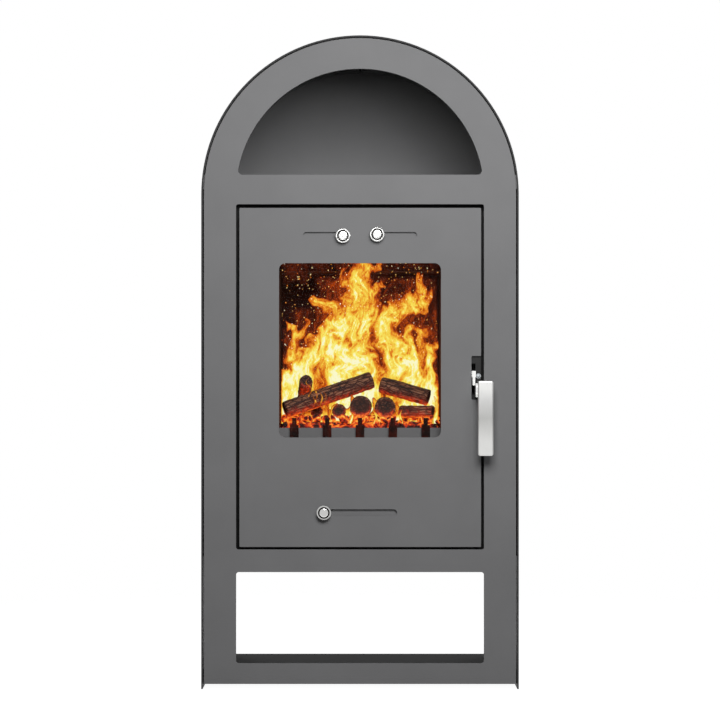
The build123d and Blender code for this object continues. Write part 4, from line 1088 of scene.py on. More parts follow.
@dataclass(frozen=True)
class Fringe(Curtain):
    """A sheet of dull red, smoky flame that stands behind the bright ones."""

    finish: BurningGas = DULL_FLAME
    cell_mm: float = 2.5

    def heat(self, x: np.ndarray, z: np.ndarray) -> np.ndarray:
        """Low heat at each point of a grid, in soft wisps.

        Args:
            x: Places across, in millimetres.
            z: Places above the floor.

        Returns:
            Heat from 0 to 0.45.
        """
        reach = np.full_like(x, self.liveliness)
        near_x, near_z = swirl(*swirl(x, z, 50, 8 * reach, self.seed), 20, 5 * reach, self.seed + 7)
        body = np.zeros_like(x)
        for tongue in self.tongues:
            body = np.maximum(body, tongue.reach(near_x, near_z, 0.5, 0.2))
        wisps = ridged_noise(near_x / 12, near_z / 26, self.seed + 30, 3, 1.9) ** 1.5
        broad = layered_noise(near_x / 25, near_z / 30, self.seed + 40, 3) - 0.4
        return np.clip(body * (0.03 + 0.24 * wisps + 0.16 * broad), 0, 0.45)


@dataclass
class LogHeap:
    """Mesh of the burning logs while it grows, log by log.

    Attributes:
        bed_z: Height of the embers' top.
        around: Corners in a ring of bark.
        ring_mm: Spacing of the rings along a log.
        glow_reach_mm: How high above the embers the bark still glows.
        points: Corner places.
        faces: Corner numbers of each face.
        glow: Glow of each corner, partly painted firelight.
        places: Place of each corner in its own log's frame, which the bark's streaks follow.
        ends: How much of each corner is burnt end grain, 0 on bark and 1 inside an end.
        shift: Where the present log's frame starts, so that no two logs have the same streaks.
        count: Number of logs so far.
        buried: How deep the present log lies in the embers, 1 for one that lies on their top.
    """

    bed_z: float
    around: int = 48
    ring_mm: float = 2.0
    glow_reach_mm: float = 60.0
    points: list = field(default_factory=list)
    faces: list = field(default_factory=list)
    glow: list = field(default_factory=list)
    places: list = field(default_factory=list)
    ends: list = field(default_factory=list)
    shift: np.ndarray = field(default_factory=lambda: np.zeros(3))
    count: int = 0
    buried: float = 0.0

    def add_log(self, start: np.ndarray, end: np.ndarray, radius: float) -> None:
        """Adds one log.

        Args:
            start: One end of its axis.
            end: Other end of its axis.
            radius: Radius of its CAD solid, which the bark stays inside.
        """
        length = float(np.linalg.norm(end - start))
        along = (end - start) / length
        high_of_bed = ((start[2] + end[2]) / 2 - self.bed_z) / MM
        self.buried = min(1.0, max(0.0, 1 - (high_of_bed - 9) / 16))
        side = np.cross(along, (0, 0, 1.0))
        side /= np.linalg.norm(side)
        up = np.cross(side, along)
        rings = max(8, int(length / (self.ring_mm * MM)))
        turns = np.arange(self.around) * 2 * math.pi / self.around
        turn, share = np.meshgrid(turns, np.linspace(0, 1, rings))
        depth = self.bark_depth(turn, share, radius, length)
        first = len(self.points)
        self.shift = np.array((0.31, 0.17, 0.23)) * self.count
        for ring in range(rings):
            middle = start + along * length * share[ring, 0]
            for k in range(self.around):
                across, high = math.cos(turns[k]), math.sin(turns[k])
                out = side * across + up * high
                place = middle + out * (radius - depth[ring, k])
                own = np.array((across * radius, high * radius, length * share[ring, 0]))
                self.add_point(place, self.glow_and_firelight_at(place, out[2]), self.shift + own)
        for ring in range(rings - 1):
            for k in range(self.around):
                a = first + ring * self.around + k
                b = first + ring * self.around + (k + 1) % self.around
                self.faces.append((a, b, b + self.around, a + self.around))
        self.close_end(first, start, -along, False)
        self.close_end(first + (rings - 1) * self.around, end, along, True)
        self.count += 1

    def bark_depth(self, turn: np.ndarray, share: np.ndarray, radius: float, length: float) -> np.ndarray:
        """Depth of the bark's surface below the CAD solid: long furrows, cross cracks and a worn end.

        Args:
            turn: Angle round the log at each corner.
            share: Share of the log's length.
            radius: Radius of the CAD solid.
            length: Length of the log.

        Returns:
            Depths in metres.
        """
        wrap = 2 * math.pi * radius / MM
        arc, reach = turn / (2 * math.pi) * wrap, share * length / MM
        seed = 300 + self.count
        furrows = [ridged_noise((arc - back) / 9 + 40, reach / 40, seed, 3, 1.6) for back in (0, wrap)]
        cracks = [ridged_noise((arc - back) / 22 + 80, reach / 11, seed + 20, 2, 2.6) for back in (0, wrap)]
        blend = turn / (2 * math.pi)
        depth = 0.3 * MM + 1.6 * MM * (furrows[0] * (1 - blend) + furrows[1] * blend)
        depth += 1.1 * MM * (cracks[0] * (1 - blend) + cracks[1] * blend)
        end_away = np.minimum(share, 1 - share) * length
        return depth + 0.8 * MM * np.clip(1 - end_away / (1.6 * MM), 0, 1) ** 2

    def glow_and_firelight_at(self, place: np.ndarray, out_z: float) -> float:
        """Glow of the bark, partly real glow of burning char and partly painted firelight: strong on
        undersides, which face the embers, and stronger near them.

        Args:
            place: Place of the corner.
            out_z: Upward part of the direction out of the log.

        Returns:
            Glow from 0 to 1.
        """
        # Painted firelight: the bark glows more where it faces down towards the embers, and more near them.
        facing_down = (0.5 - 0.5 * out_z) ** 1.5
        near = 1 - 0.45 * min(1.0, max(0.0, (place[2] - self.bed_z) / (self.glow_reach_mm * MM)))
        return max((0.12 + 0.9 * facing_down) * near, self.buried * (0.42 + 0.5 * facing_down))

    def add_point(self, place: np.ndarray, glow: float, own: np.ndarray, end: float = 0.0) -> None:
        """Adds one corner.

        Args:
            place: Its place.
            glow: Its glow.
            own: Its place in its own log's frame.
            end: Its share of burnt end grain.
        """
        self.points.append(place)
        self.glow.append(glow)
        self.places.append(own)
        self.ends.append(end)

    def close_end(self, rim: int, centre: np.ndarray, outward: np.ndarray, far: bool) -> None:
        """Closes one end of a log with rings sunken between the year rings.

        Args:
            rim: Number of the first corner of the log's last ring.
            centre: Middle of the end.
            outward: Direction out of the log.
            far: Whether this is the end that the rings run towards.
        """
        previous = rim
        for share, sink in ((0.88, 0.5), (0.68, 0.3), (0.46, 0.9), (0.22, 0.6)):
            first = len(self.points)
            for k in range(self.around):
                flat = np.array(self.points[rim + k]) - centre
                flat = flat - outward * float(flat @ outward)
                own = self.shift + (self.places[rim + k] - self.shift) * (share, share, 1)
                glow = self.glow[rim + k] * (0.2 + 0.8 * share**2) + 0.24 * share**3
                self.add_point(centre + flat * share - outward * sink * MM, glow, own, 1.0)
            for k in range(self.around):
                a, b = previous + k, previous + (k + 1) % self.around
                c, d = first + (k + 1) % self.around, first + k
                self.faces.append((a, b, c, d) if far else (d, c, b, a))
            previous = first
        middle = len(self.points)
        own = self.shift + (self.places[rim] - self.shift) * (0, 0, 1)
        self.add_point(centre - outward * 0.8 * MM, 0.0, own, 1.0)
        for k in range(self.around):
            a, b = previous + k, previous + (k + 1) % self.around
            self.faces.append((a, b, middle) if far else (middle, b, a))


@dataclass
class Fire:
    """The burning load: logs, embers, flames and sparks.

    Attributes:
        eye: Place that the fire is seen from, which the tongues' lines are drawn for.
        gap_mm: Least space between a flame and the fireproof boards.
        side_fade_mm: Width over which a flame dies down beside a board.
        top_fade_mm: Height over which it dies down below its top.
        root_mm: How deep its root reaches into the embers.
        tip_room_mm: Room above the highest point of a tongue's line.
        rear_room_mm: Room behind a flame's middle for its thickness and its sway.
        bend_start_mm: How far below the baffle a flame starts to bend forward.
        bend_mm: Height over which it bends.
        swell_heat: Heat above its edge's at which a flame has its full thickness.
    """

    eye: Vector
    gap_mm: float = 1.0
    side_fade_mm: float = 3.0
    top_fade_mm: float = 9.0
    root_mm: float = 4.0
    tip_room_mm: float = 14.0
    rear_room_mm: float = 14.0
    bend_start_mm: float = 60.0
    bend_mm: float = 45.0
    swell_heat: float = 0.2

    def build(self) -> None:
        """Builds every piece of the fire."""
        self.build_logs()
        self.build_embers()
        for curtain in self.curtains():
            self.build_curtain(curtain)
        self.build_sparks()

    def curtains(self) -> tuple[Curtain, ...]:
        """The sheets of flame and smoke, from the back to the front.

        Returns:
            The curtains.
        """
        back_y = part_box("liner_back")[0].y
        front_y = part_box("hearth_sill")[1].y
        depth = back_y - front_y
        baffle_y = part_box("baffle")[0].y
        rear = (
            Tongue(((-75, 400), (-72, 440), (-82, 480), (-80, 500)), 52),
            Tongue(((-30, 400), (-40, 460), (-36, 520), (-30, 560)), 60),
            Tongue(((5, 400), (5, 460), (0, 540), (8, 600)), 62),
            Tongue(((50, 400), (52, 460), (62, 530), (80, 580)), 60),
            Tongue(((96, 400), (98, 450), (100, 500), (98, 520)), 48),
        )
        main = (
            Tongue(((-6, 390), (-14, 449), (-13, 491), (-8, 525), (-4, 550), (1, 570), (3, 588)), 47),
            Tongue(((-28, 449), (-35, 496), (-43, 520), (-51, 533), (-55, 541)), 25, 0.95),
            Tongue(((-14, 545), (-20, 562), (-23, 578), (-14, 586)), 9, 0.6),
            Tongue(((6, 545), (12, 562), (11, 575), (22, 585), (28, 592)), 11, 0.6),
            Tongue(((9, 499), (18, 528), (18, 545), (29, 555), (30, 562)), 11, 0.66),
            Tongue(((12, 483), (21, 506), (28, 523)), 14, 0.82),
            Tongue(
                ((49, 449), (46, 483), (46, 508), (53, 528), (66, 538))
                + ((78, 545), (85, 555), (80, 567), (83, 577)),
                26,
                0.95,
            ),
            Tongue(((71, 530), (81, 533), (88, 539)), 7, 0.7),
            Tongue(((39, 513), (39, 528), (32, 536)), 8, 0.66),
            Tongue(((71, 449), (73, 479), (75, 493), (80, 500), (86, 493), (90, 482)), 10, 0.76),
            Tongue(((91, 466), (91, 486), (95, 496), (93, 505)), 10, 0.6),
            Tongue(((101, 449), (101, 466), (103, 476), (110, 484)), 10, 0.68),
            Tongue(((71, 407), (68, 441), (59, 466), (53, 483)), 44),
            Tongue(((-4, 415), (-11, 449), (-14, 474)), 48),
            Tongue(((-88, 407), (-75, 432), (-67, 452), (-67, 466)), 36),
            Tongue(((-95, 432), (-90, 456), (-97, 472), (-88, 489), (-97, 499), (-104, 507)), 15, 0.86),
            Tongue(((-84, 489), (-78, 502), (-80, 510)), 8, 0.62),
            Tongue(((-66, 457), (-71, 476), (-73, 486)), 15, 0.85),
            Tongue(((-55, 466), (-51, 486), (-48, 500)), 17, 0.82),
            Tongue(((-107, 400), (-105, 432), (-109, 446)), 16, 0.94),
            Tongue(((100, 396), (98, 430), (104, 452)), 22, 0.95),
            Tongue(((-115, 380), (0, 380), (115, 380)), 30),
            Tongue(((-115, 356), (0, 356), (115, 356)), 40),
        )
        front = (
            Tongue(((-62, 396), (-58, 408), (-64, 419), (-57, 430), (-63, 441)), 1.9, 0.74),
            Tongue(((-58, 395), (-63, 405), (-58, 416), (-66, 428), (-73, 436)), 1.7, 0.66),
            Tongue(((-54, 394), (-51, 406), (-57, 417), (-51, 428), (-54, 438)), 1.8, 0.72),
            Tongue(((-70, 406), (-66, 416), (-73, 425), (-69, 434), (-77, 441)), 1.8, 0.66),
            Tongue(((-48, 398), (-46, 408), (-51, 417), (-48, 426)), 1.6, 0.66),
            Tongue(((-14, 368), (-11, 378), (-15, 387)), 3.2),
            Tongue(((20, 368), (22, 379), (18, 388)), 3.2),
            Tongue(((58, 368), (55, 377), (58, 385)), 3),
            Tongue(((104, 368), (107, 388), (102, 406)), 6),
        )
        smoke = (Tongue(((-118, 590), (-60, 592), (0, 592), (60, 592), (118, 590)), 30, 0.34),)
        glow = (
            Tongue(((-84, 372), (-20, 374), (30, 374), (96, 372)), 18, 0.8),
            Tongue(((-52, 376), (-49, 388), (-54, 399)), 11, 0.85),
            Tongue(((-33, 376), (-35, 386), (-31, 394)), 9, 0.85),
            Tongue(((-12, 376), (-9, 390), (-13, 403)), 11, 0.85),
            Tongue(((20, 376), (23, 389), (18, 402)), 10, 0.85),
            Tongue(((52, 376), (55, 386), (51, 395)), 10, 0.85),
            Tongue(((74, 374), (77, 383), (73, 390)), 9, 0.85),
        )
        front_root, front_tip = front_y + 0.06 * depth, front_y + 0.08 * depth
        return (
            Fringe("flames_rear", rear, front_y + 0.86 * depth, front_y + 0.78 * depth, 264),
            Fringe("smoke_veil", smoke, baffle_y - 2 * MM, baffle_y - 5 * MM, 371, 1.0, 2.0),
            Curtain("flames_main", main, front_y + 0.56 * depth, baffle_y - 10 * MM, 64),
            Curtain("ember_light", glow, front_y + 0.3 * depth, front_y + 0.3 * depth, 505, 0.7, 2.0, 1.0),
            Curtain("flames_front", front, front_root, front_tip, 57, 0.45, 2.4, 0.7, THIN_FLAME),
        )

    def build_curtain(self, curtain: Curtain) -> None:
        """Builds one sheet of flame as a closed body whose thickness follows its heat.

        Args:
            curtain: Which sheet to build.
        """
        cell, edge_heat = curtain.cell_mm, curtain.finish.edge_heat
        floor_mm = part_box("ember_bed")[1].z / MM - self.root_mm
        top_mm = max(point[1] for tongue in curtain.tongues for point in tongue.line) + self.tip_room_mm
        baffle_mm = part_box("baffle")[0].z / MM - self.gap_mm
        spread = self.spread_at(max(curtain.root_y, curtain.tip_y) + self.rear_room_mm * MM)
        if curtain.tip_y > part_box("baffle")[0].y:
            top_mm = self.eye.z / MM + (baffle_mm - self.eye.z / MM) / spread
        half_width = (-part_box("liner_left")[1].x / MM - self.gap_mm) / spread
        x_line = np.arange(-half_width - 2 * cell, half_width + 2 * cell, cell)
        x, z = np.meshgrid(x_line, np.arange(floor_mm, top_mm + cell, cell))
        beside = np.clip((half_width - np.abs(x)) / self.side_fade_mm, 0, 1)
        below = np.clip((top_mm - z) / self.top_fade_mm, 0, 1)
        heat = curtain.heat(x, z) * beside * below
        slope_z, slope_x = np.gradient(heat, cell)
        steep = np.maximum(slope_x**2 + slope_z**2, 1e-6)
        short = np.clip((edge_heat - heat) / steep, 0, None)
        outside = heat < edge_heat
        x = np.where(outside, x + np.clip(short * slope_x, -cell, cell), x)
        z = np.where(outside, z + np.clip(short * slope_z, -cell, cell), z)

        rise = (z - floor_mm) / (top_mm - floor_mm)
        sway = layered_noise(x / 55, z / 80, curtain.seed + 90, 2) - 0.5
        middle_y = curtain.root_y + (curtain.tip_y - curtain.root_y) * rise
        middle_y = middle_y + sway * curtain.thickness_mm * 3 * MM
        if curtain.tip_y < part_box("baffle")[0].y:
            before_baffle = np.clip((z - baffle_mm + self.bend_start_mm) / self.bend_mm, 0, 1)
            middle_y += before_baffle * (np.minimum(middle_y, curtain.tip_y) - middle_y)
        over = np.clip((heat - edge_heat) / self.swell_heat, 0, 1)
        half = curtain.thickness_mm * MM * np.sqrt(over) * (0.35 + 0.65 * np.clip(heat, 0, 1))
        cells = ~(outside[:-1, :-1] & outside[1:, :-1] & outside[:-1, 1:] & outside[1:, 1:])
        rows, columns = np.nonzero(cells)
        width = x.shape[1]
        corner = rows * width + columns
        front_faces = np.stack([corner, corner + 1, corner + width + 1, corner + width], axis=1)
        used = np.unique(front_faces)
        number = np.full(x.size, -1)
        number[used] = np.arange(len(used))
        rear_number = number.copy()
        inner = used[~outside.ravel()[used]]
        rear_number[inner] = len(used) + np.arange(len(inner))
        across, deep, high, thick, burning = [a.ravel() for a in (x * MM, middle_y, z * MM, half, heat)]
        front_points = np.stack([across[used], deep[used] - thick[used], high[used]], axis=1)
        rear_points = np.stack([across[inner], deep[inner] + thick[inner], high[inner]], axis=1)
        points = self.behind_window(np.vstack([front_points, rear_points]))
        faces = np.vstack([number[front_faces], rear_number[front_faces][:, ::-1]])
        piece = new_mesh_object(curtain.name, points, faces, curtain.finish)
        set_attribute(piece, "burning", np.concatenate([burning[used], burning[inner]]))
        smooth(piece)
        seat(piece, Body.ROOT, "embers")

    def spread_at(self, y: Any) -> Any:
        """How much larger a thing has to be at a depth to look as it would on the door's plane."""
        return (y - self.eye.y) / (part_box("door_panel")[0].y - self.eye.y)

    def behind_window(self, points: np.ndarray) -> np.ndarray:
        """Moves points drawn on the door's plane to where they look the same at their own depth.

        Args:
            points: Places whose X and Z are on the door's plane and whose Y is their real depth.

        Returns:
            The places at their depth.
        """
        spread = self.spread_at(points[:, 1])
        moved = points.copy()
        moved[:, 0] = self.eye.x + (points[:, 0] - self.eye.x) * spread
        moved[:, 2] = self.eye.z + (points[:, 2] - self.eye.z) * spread
        return moved

    def build_logs(self) -> None:
        """Builds each burning log around the axis of its CAD solid, with bark ridges and glowing splits."""
        heap = LogHeap(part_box("ember_bed")[1].z)
        for solid in islands("firewood"):
            heap.add_log(*self.axis_of(solid))
        piece = new_mesh_object("burning_logs", heap.points, heap.faces, CHARRED_BARK)
        set_attribute(piece, "glow", np.array(heap.glow))
        set_attribute(piece, "end_grain", np.array(heap.ends))
        places = piece.data.attributes.new("log_place", "FLOAT_VECTOR", "POINT")
        places.data.foreach_set("vector", np.array(heap.places, dtype=np.float32).ravel())
        smooth(piece)
        seat(piece, Body.ROOT, "charred_wood", "firewood")

    def axis_of(self, solid: np.ndarray) -> tuple[np.ndarray, np.ndarray, float]:
        """Axis and radius of a round log.

        Args:
            solid: Corner points of the log.

        Returns:
            Both ends of its axis, and its radius.
        """
        centre = (solid.max(axis=0) + solid.min(axis=0)) / 2
        _, _, directions = np.linalg.svd(solid - solid.mean(axis=0))
        along = directions[0]
        reach = (solid - centre) @ along
        away = np.linalg.norm((solid - centre) - np.outer(reach, along), axis=1)
        radius = float(away.max())
        return centre + along * reach.min(), centre + along * reach.max(), radius

    def build_embers(self) -> None:
        """Builds the heap of embers: a lumpy bed and loose coals on it."""
        low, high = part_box("ember_bed")
        base_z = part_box("grate")[1].z + 0.3 * MM
        sill_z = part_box("hearth_sill")[1].z
        columns, rows = 93, 83
        x_line = np.linspace(low.x, high.x, columns)
        y_line = np.linspace(low.y, high.y, rows)
        x, y = np.meshgrid(x_line, y_line)
        edge = np.minimum.reduce([x - low.x, high.x - x, y - low.y, high.y - y]) / (high.z - sill_z)
        lump, crack = 13 * MM, 19 * MM
        lumps = layered_noise(x / lump, y / lump, 71, 4)
        cells = 1 - np.abs(2 * layered_noise(x / crack, y / crack, 83, 3) - 1)
        z = sill_z - 4 * MM + (high.z - sill_z + 2 * MM) * np.clip(edge, 0, 1) + (lumps - 0.5) * 9 * MM
        z = np.minimum(z - 3 * MM * cells, high.z)
        top = [(x[j, i], y[j, i], z[j, i]) for j in range(rows) for i in range(columns)]
        rim = (
            list(range(columns))
            + [(j + 1) * columns - 1 for j in range(1, rows)]
            + [(rows - 1) * columns + i for i in range(columns - 2, -1, -1)]
            + [j * columns for j in range(rows - 2, 0, -1)]
        )
        points = top + [(top[i][0], top[i][1], base_z) for i in rim]
        faces = [
            (j * columns + i, j * columns + i + 1, (j + 1) * columns + i + 1, (j + 1) * columns + i)
            for j in range(rows - 1)
            for i in range(columns - 1)
        ]
        first, count = len(top), len(rim)
        for k in range(count):
            n = (k + 1) % count
            faces.append((first + k, first + n, rim[n], rim[k]))
        faces.append(tuple(first + k for k in range(count - 1, -1, -1)))
        heap = new_mesh_object("ember_heap", points, faces, COALS)
        smooth(heap)
        seat(heap, Body.ROOT, "embers", "ember_bed")
        self.build_coals(low, high, sill_z)

    def build_coals(self, low: Vector, high: Vector, sill_z: float) -> None:
        """Scatters loose coals over the heap with a Geometry Nodes tree.

        Args:
            low: Lowest corner of the heap.
            high: Highest corner of the heap.
            sill_z: Height of the sill in front of it.
        """
        coals = ScatterTree("loose_coals")
        tree = coals.tree
        count, radius = coals.size("Count", 330), coals.size("Coal size", 6.4 * MM)
        spots = {0: (low.x + 0.006, low.y + 0.004, 0), 1: (high.x - 0.006, high.y - 0.01, 0), "Seed": 5}
        spot = add_node(tree, "FunctionNodeRandomValue", spots, data_type="FLOAT_VECTOR")
        split = add_node(tree, "ShaderNodeSeparateXYZ", {0: spot}).outputs
        run = add_node(tree, "ShaderNodeMath", {0: split["Y"], 1: low.y}, operation="SUBTRACT")
        slope = {"Value": run, "From Max": high.z - sill_z, "To Min": sill_z - MM, "To Max": high.z + MM}
        climb = add_node(tree, "ShaderNodeMapRange", slope)
        place = add_node(tree, "ShaderNodeCombineXYZ", {"X": split["X"], "Y": split["Y"], "Z": climb})
        lump = add_node(tree, "GeometryNodeMeshIcoSphere", {"Radius": radius, "Subdivisions": 2})
        dents = add_node(tree, "ShaderNodeTexNoise", {"Scale": per_metre(5.0), "Detail": 1.0})
        hollows = {"Value": dents, "To Min": -2.4 * MM, "To Max": 1.6 * MM}
        depth = add_node(tree, "ShaderNodeMapRange", hollows)
        normal = add_node(tree, "GeometryNodeInputNormal")
        push = add_node(tree, "ShaderNodeVectorMath", {0: normal, "Scale": depth}, operation="SCALE")
        rough = add_node(tree, "GeometryNodeSetPosition", {"Geometry": lump, "Offset": push})
        turns = ((0, 0, 0), (6.28, 6.28, 6.28), 6)
        scales = ((0.45, 0.45, 0.4), (1.25, 1.15, 0.9), 7)
        seat(coals.scatter(count, place, rough, turns, scales, COALS), Body.ROOT, "embers")

    def build_sparks(self) -> None:
        """Scatters flying sparks in the air above the flames with a Geometry Nodes tree."""
        sparks = ScatterTree("flying_sparks")
        count, radius = sparks.size("Count", 560), sparks.size("Spark size", 0.6 * MM)
        low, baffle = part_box("ember_bed")[0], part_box("baffle")
        near = (low.x + 0.004, low.y + 0.012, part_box("firewood")[1].z)
        far = (-low.x - 0.004, baffle[0].y - 0.012, baffle[1].z)
        spots = {0: near, 1: far, "Seed": 3}
        place = add_node(sparks.tree, "FunctionNodeRandomValue", spots, data_type="FLOAT_VECTOR")
        speck = add_node(sparks.tree, "GeometryNodeMeshIcoSphere", {"Radius": radius, "Subdivisions": 1})
        turns = ((-0.6, -0.9, 0), (0.6, 0.9, 6.28), 8)
        scales = ((0.4, 0.4, 0.5), (1.3, 1.3, 2.0), 9)
        seat(sparks.scatter(count, place, speck, turns, scales, SPARK), Body.ROOT, "embers")


class ScatterTree:
    """A Geometry Nodes tree that sets copies of a shape on random places, and is baked to a plain mesh."""

    def __init__(self, name: str) -> None:
        """Starts an empty tree.

        Args:
            name: Name of the tree and of the piece that it makes.
        """
        self.name = name
        self.tree = bpy.data.node_groups.new(name, "GeometryNodeTree")
        self.tree.interface.new_socket("Geometry", in_out="OUTPUT", socket_type="NodeSocketGeometry")
        self.given = add_node(self.tree, "NodeGroupInput")
        self.values: dict[str, float | int] = {}

    def size(self, name: str, value: float | int) -> Socket:
        """Adds a named input of the tree.

        Args:
            name: Name of the input.
            value: Its value for the piece.

        Returns:
            The socket that carries it.
        """
        kind = "NodeSocketInt" if isinstance(value, int) else "NodeSocketFloat"
        item = self.tree.interface.new_socket(name, in_out="INPUT", socket_type=kind)
        self.values[item.identifier] = value
        return self.given.outputs[name]

    def scatter(
        self, count: Socket, place: Node, shape: Node, turns: Span, scales: Span, finish: Finish
    ) -> bpy.types.Object:
        """Copies the shape, ends the tree, runs it and keeps its result as a plain mesh.

        Args:
            count: Number of copies.
            place: Place of each copy.
            shape: What is copied.
            turns: Least and greatest turn about each axis, and the seed of the turns.
            scales: Least and greatest scale along each axis, and the seed of the scales.
            finish: Finish of the piece.

        Returns:
            The object, without its modifier.
        """
        draws = [{0: least, 1: greatest, "Seed": seed} for least, greatest, seed in (turns, scales)]
        turn, scale = (
            add_node(self.tree, "FunctionNodeRandomValue", draw, data_type="FLOAT_VECTOR") for draw in draws
        )
        points = add_node(self.tree, "GeometryNodePoints", {"Count": count, "Position": place})
        copies = {"Points": points, "Instance": shape, "Rotation": turn, "Scale": scale}
        placed = add_node(self.tree, "GeometryNodeInstanceOnPoints", copies)
        real = add_node(self.tree, "GeometryNodeRealizeInstances", {"Geometry": placed})
        painted = {"Geometry": real, "Material": finish.material()}
        add_node(self.tree, "NodeGroupOutput", {0: add_node(self.tree, "GeometryNodeSetMaterial", painted)})
        piece = bpy.data.objects.new(self.name, bpy.data.meshes.new(self.name + "_start"))
        bpy.context.scene.collection.objects.link(piece)
        modifier = piece.modifiers.new("form", "NODES")
        modifier.node_group = self.tree
        for identifier, value in self.values.items():
            modifier[identifier] = value
        evaluated = piece.evaluated_get(bpy.context.evaluated_depsgraph_get())
        mesh = bpy.data.meshes.new_from_object(evaluated)
        mesh.name = self.name
        piece.modifiers.remove(modifier)
        piece.data = mesh
        return piece


@dataclass
class Casing:
    """Outer sheets of the stove."""

    edge_mm: float = 0.35

    def dress(self) -> None:
        """Paints the casing's sheets."""
        # The casing sheets carry painted shade along their front edge.
        dress(WRAP_PAINT, ("casing_side_left", "casing_side_right", "casing_arch"))
        sheets = ("front_plate", "niche_floor", "log_store_ceiling", "rear_rim", "hearth_sill")
        dress(GREY_PAINT, sheets, self.edge_mm)
        # Painted light: the back sheet takes a lighter copy of the grey paint.
        dress(LIGHTENED_BACK_PAINT, ("back_panel",), self.edge_mm)
        # Painted shade: the log store's floor takes a dark copy of the grey paint.
        dress(PAINTED_SHADE_DARK_PAINT, ("log_store_floor",), self.edge_mm)
        dress(BLACK_ZINC, ("back_panel_screws",))
        dress(ZINC, ("flue_spigot_bolts",))


class Firebox:
    """Welded box that holds the fire, with its boards, grate and ash pan."""

    def dress(self) -> None:
        """Finishes the firebox and what stands in it."""
        walls = ("front_frame", "side_left", "side_right", "back", "top", "floor")
        dress(BLACK_PAINT, [f"firebox_{wall}" for wall in walls])
        dress(BLACK_PAINT, ("hearth_shelf", "flue_spigot", "hinge_bracket_upper", "hinge_bracket_lower"))
        dress(FIRE_BOARD, ("liner_left", "liner_right", "liner_back", "baffle"))
        dress(CAST_IRON, ("grate", "log_guard"))
        dress(GALVANISED, ("ash_pan", "ash_pan_handle"))
        dress(ZINC, ("hinge_pin_upper", "hinge_pin_lower"))


@dataclass
class Door:
    """Door with its glass, seals, latch and air sliders."""

    edge_mm: float = 0.35

    def dress(self) -> None:
        """Finishes the door's pieces."""
        dress(GREY_PAINT, ("door_panel",), self.edge_mm)
        dress(SLIDER_PAINT, ("air_plate_left", "air_plate_right", "air_plate_bottom"))
        dress(BLACK_PAINT, ("door_inner_frame", "latch_bracket", "top_air_guides", "bottom_air_guides"))
        dress(BLACK_PAINT, ("hinge_knuckle_upper", "hinge_knuckle_lower"))
        dress(PANE, ("door_glass",))
        dress(ROPE, ("glass_gasket", "door_rope_seal"))
        dress(ZINC, ("glass_clips", "door_nuts", "latch_keeper_screw"))
        dress(GRIP_STEEL, ("handle_grip",))
        dress(SATIN_STEEL, ("latch_lever", "latch_pivot_pin", "grip_rivets"))
        for place in ("left", "right", "bottom"):
            # The knobs' cups and screw heads carry painted shade behind their front rims.
            dress(TURNED_STEEL, (f"knob_cup_{place}",))
            dress(POLISHED_HEAD, (f"knob_screw_{place}",))


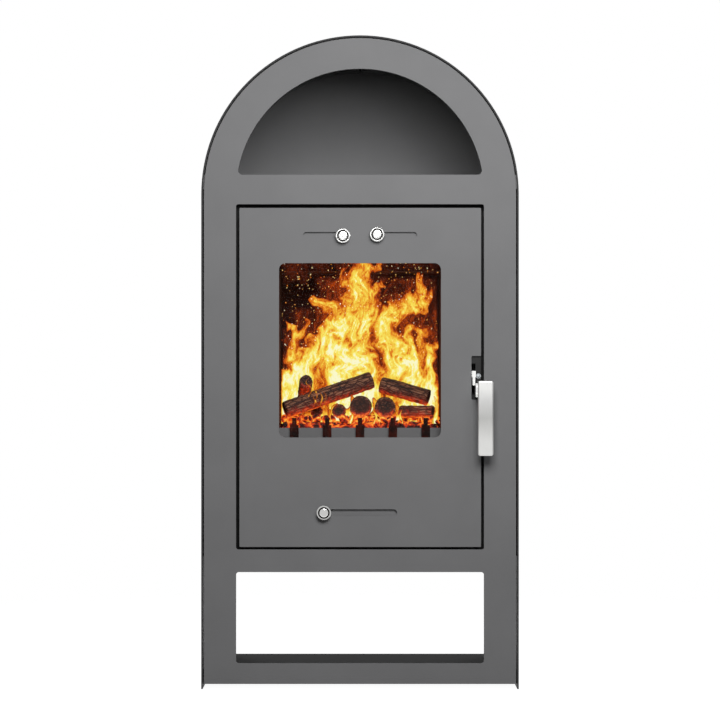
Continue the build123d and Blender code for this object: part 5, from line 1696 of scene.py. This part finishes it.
@dataclass
class Studio:
    """Camera, lights, floor and white surround.

    Attributes:
        distance: Metres from the camera to the front of the casing.
        eye_height: Height of the camera.
        lens_mm: Focal length on a 36 mm sensor.
        sky_light: Brightness of the surround as a light on matt surfaces.
        sky_reflection: Brightness of the surround in glossy surfaces.
    """

    distance: float = 3.4
    eye_height: float = 0.4561
    lens_mm: float = 122.7
    sky_light: float = 0.035
    sky_reflection: float = 0.62

    def eye(self) -> Vector:
        """Place of the camera."""
        return Vector((0.0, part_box("casing_arch")[0].y - self.distance, self.eye_height))

    def build(self) -> None:
        """Builds the whole studio."""
        self.build_camera()
        self.build_lights()
        self.build_floor()
        self.build_surround()

    def build_camera(self) -> None:
        """Puts a level camera in front of the stove."""
        data = bpy.data.cameras.new("camera")
        data.lens = self.lens_mm
        data.sensor_width = 36.0
        camera = bpy.data.objects.new("camera", data)
        camera.location = self.eye()
        camera.rotation_euler = (math.radians(90), 0, 0)
        bpy.context.scene.collection.objects.link(camera)
        bpy.context.scene.camera = camera

    def build_lights(self) -> None:
        """Hangs the soft lights: a near one over the front, a far one at the upper right, and two behind."""
        target = (0, -0.1, 0.55)
        self.add_light("near_front", (0.12, -1.3, 1.0), target, 0.54, 13.3)
        self.add_light("upper_right", (1.42, -2.84, 2.14), target, 0.8, 10.2)
        self.add_light("rear_left", (-1.6, 1.9, 1.8), target, 1.2, 22)
        self.add_light("rear_right", (1.6, 1.9, 1.4), target, 1.2, 14)

    def add_light(
        self, name: str, place: Sequence[float], target: Sequence[float], size: float, power: float
    ) -> None:
        """Adds one square soft light.

        Args:
            name: Name of the light.
            place: Where it hangs.
            target: What it points at.
            size: Length of its side.
            power: Its power in watts.
        """
        data = bpy.data.lights.new(name, "AREA")
        data.size = size
        data.energy = power
        light = bpy.data.objects.new(name, data)
        light.location = place
        light.rotation_euler = (Vector(target) - Vector(place)).to_track_quat("-Z", "Y").to_euler()
        bpy.context.scene.collection.objects.link(light)

    def build_floor(self) -> None:
        """Lays a round pale floor."""
        around, rings = 96, (0.0, 0.6, 1.4, 2.7)
        points = [(0.0, 0.0, 0.0)]
        for radius in rings[1:]:
            points += [
                (radius * math.cos(2 * math.pi * k / around), radius * math.sin(2 * math.pi * k / around), 0.0)
                for k in range(around)
            ]
        faces: list[tuple[int, ...]] = [(0, 1 + k, 1 + (k + 1) % around) for k in range(around)]
        for ring in range(len(rings) - 2):
            first = 1 + ring * around
            faces += [
                (first + k, first + around + k, first + around + (k + 1) % around, first + (k + 1) % around)
                for k in range(around)
            ]
        new_mesh_object("studio_floor", points, faces, FLOOR)

    def build_surround(self) -> None:
        """Surrounds the studio with white, dimmer as a light than as a backdrop."""
        world = bpy.data.worlds.new("studio")
        world.use_nodes = True
        tree = world.node_tree
        tree.nodes.clear()
        seen = add_node(tree, "ShaderNodeLightPath").outputs
        levels = {"Value": seen["Is Glossy Ray"], "To Min": self.sky_light, "To Max": self.sky_reflection}
        mirrored = add_node(tree, "ShaderNodeMapRange", levels)
        rays = {0: mirrored, 1: seen["Is Camera Ray"]}
        strength = add_node(tree, "ShaderNodeMath", rays, operation="MAXIMUM")
        light = add_node(tree, "ShaderNodeBackground", {"Color": linear(WHITE), "Strength": strength})
        add_node(tree, "ShaderNodeOutputWorld", {"Surface": light})
        bpy.context.scene.world = world
        bpy.context.scene.view_settings.view_transform = "Standard"


def main() -> None:
    """Builds the studio and the stove."""
    logging.basicConfig(level=logging.INFO, format="%(name)s: %(message)s")
    studio = Studio()
    studio.build()
    Casing().dress()
    Firebox().dress()
    Door().dress()
    Fire(studio.eye()).build()
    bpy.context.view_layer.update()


if __name__ == "__main__":
    main()
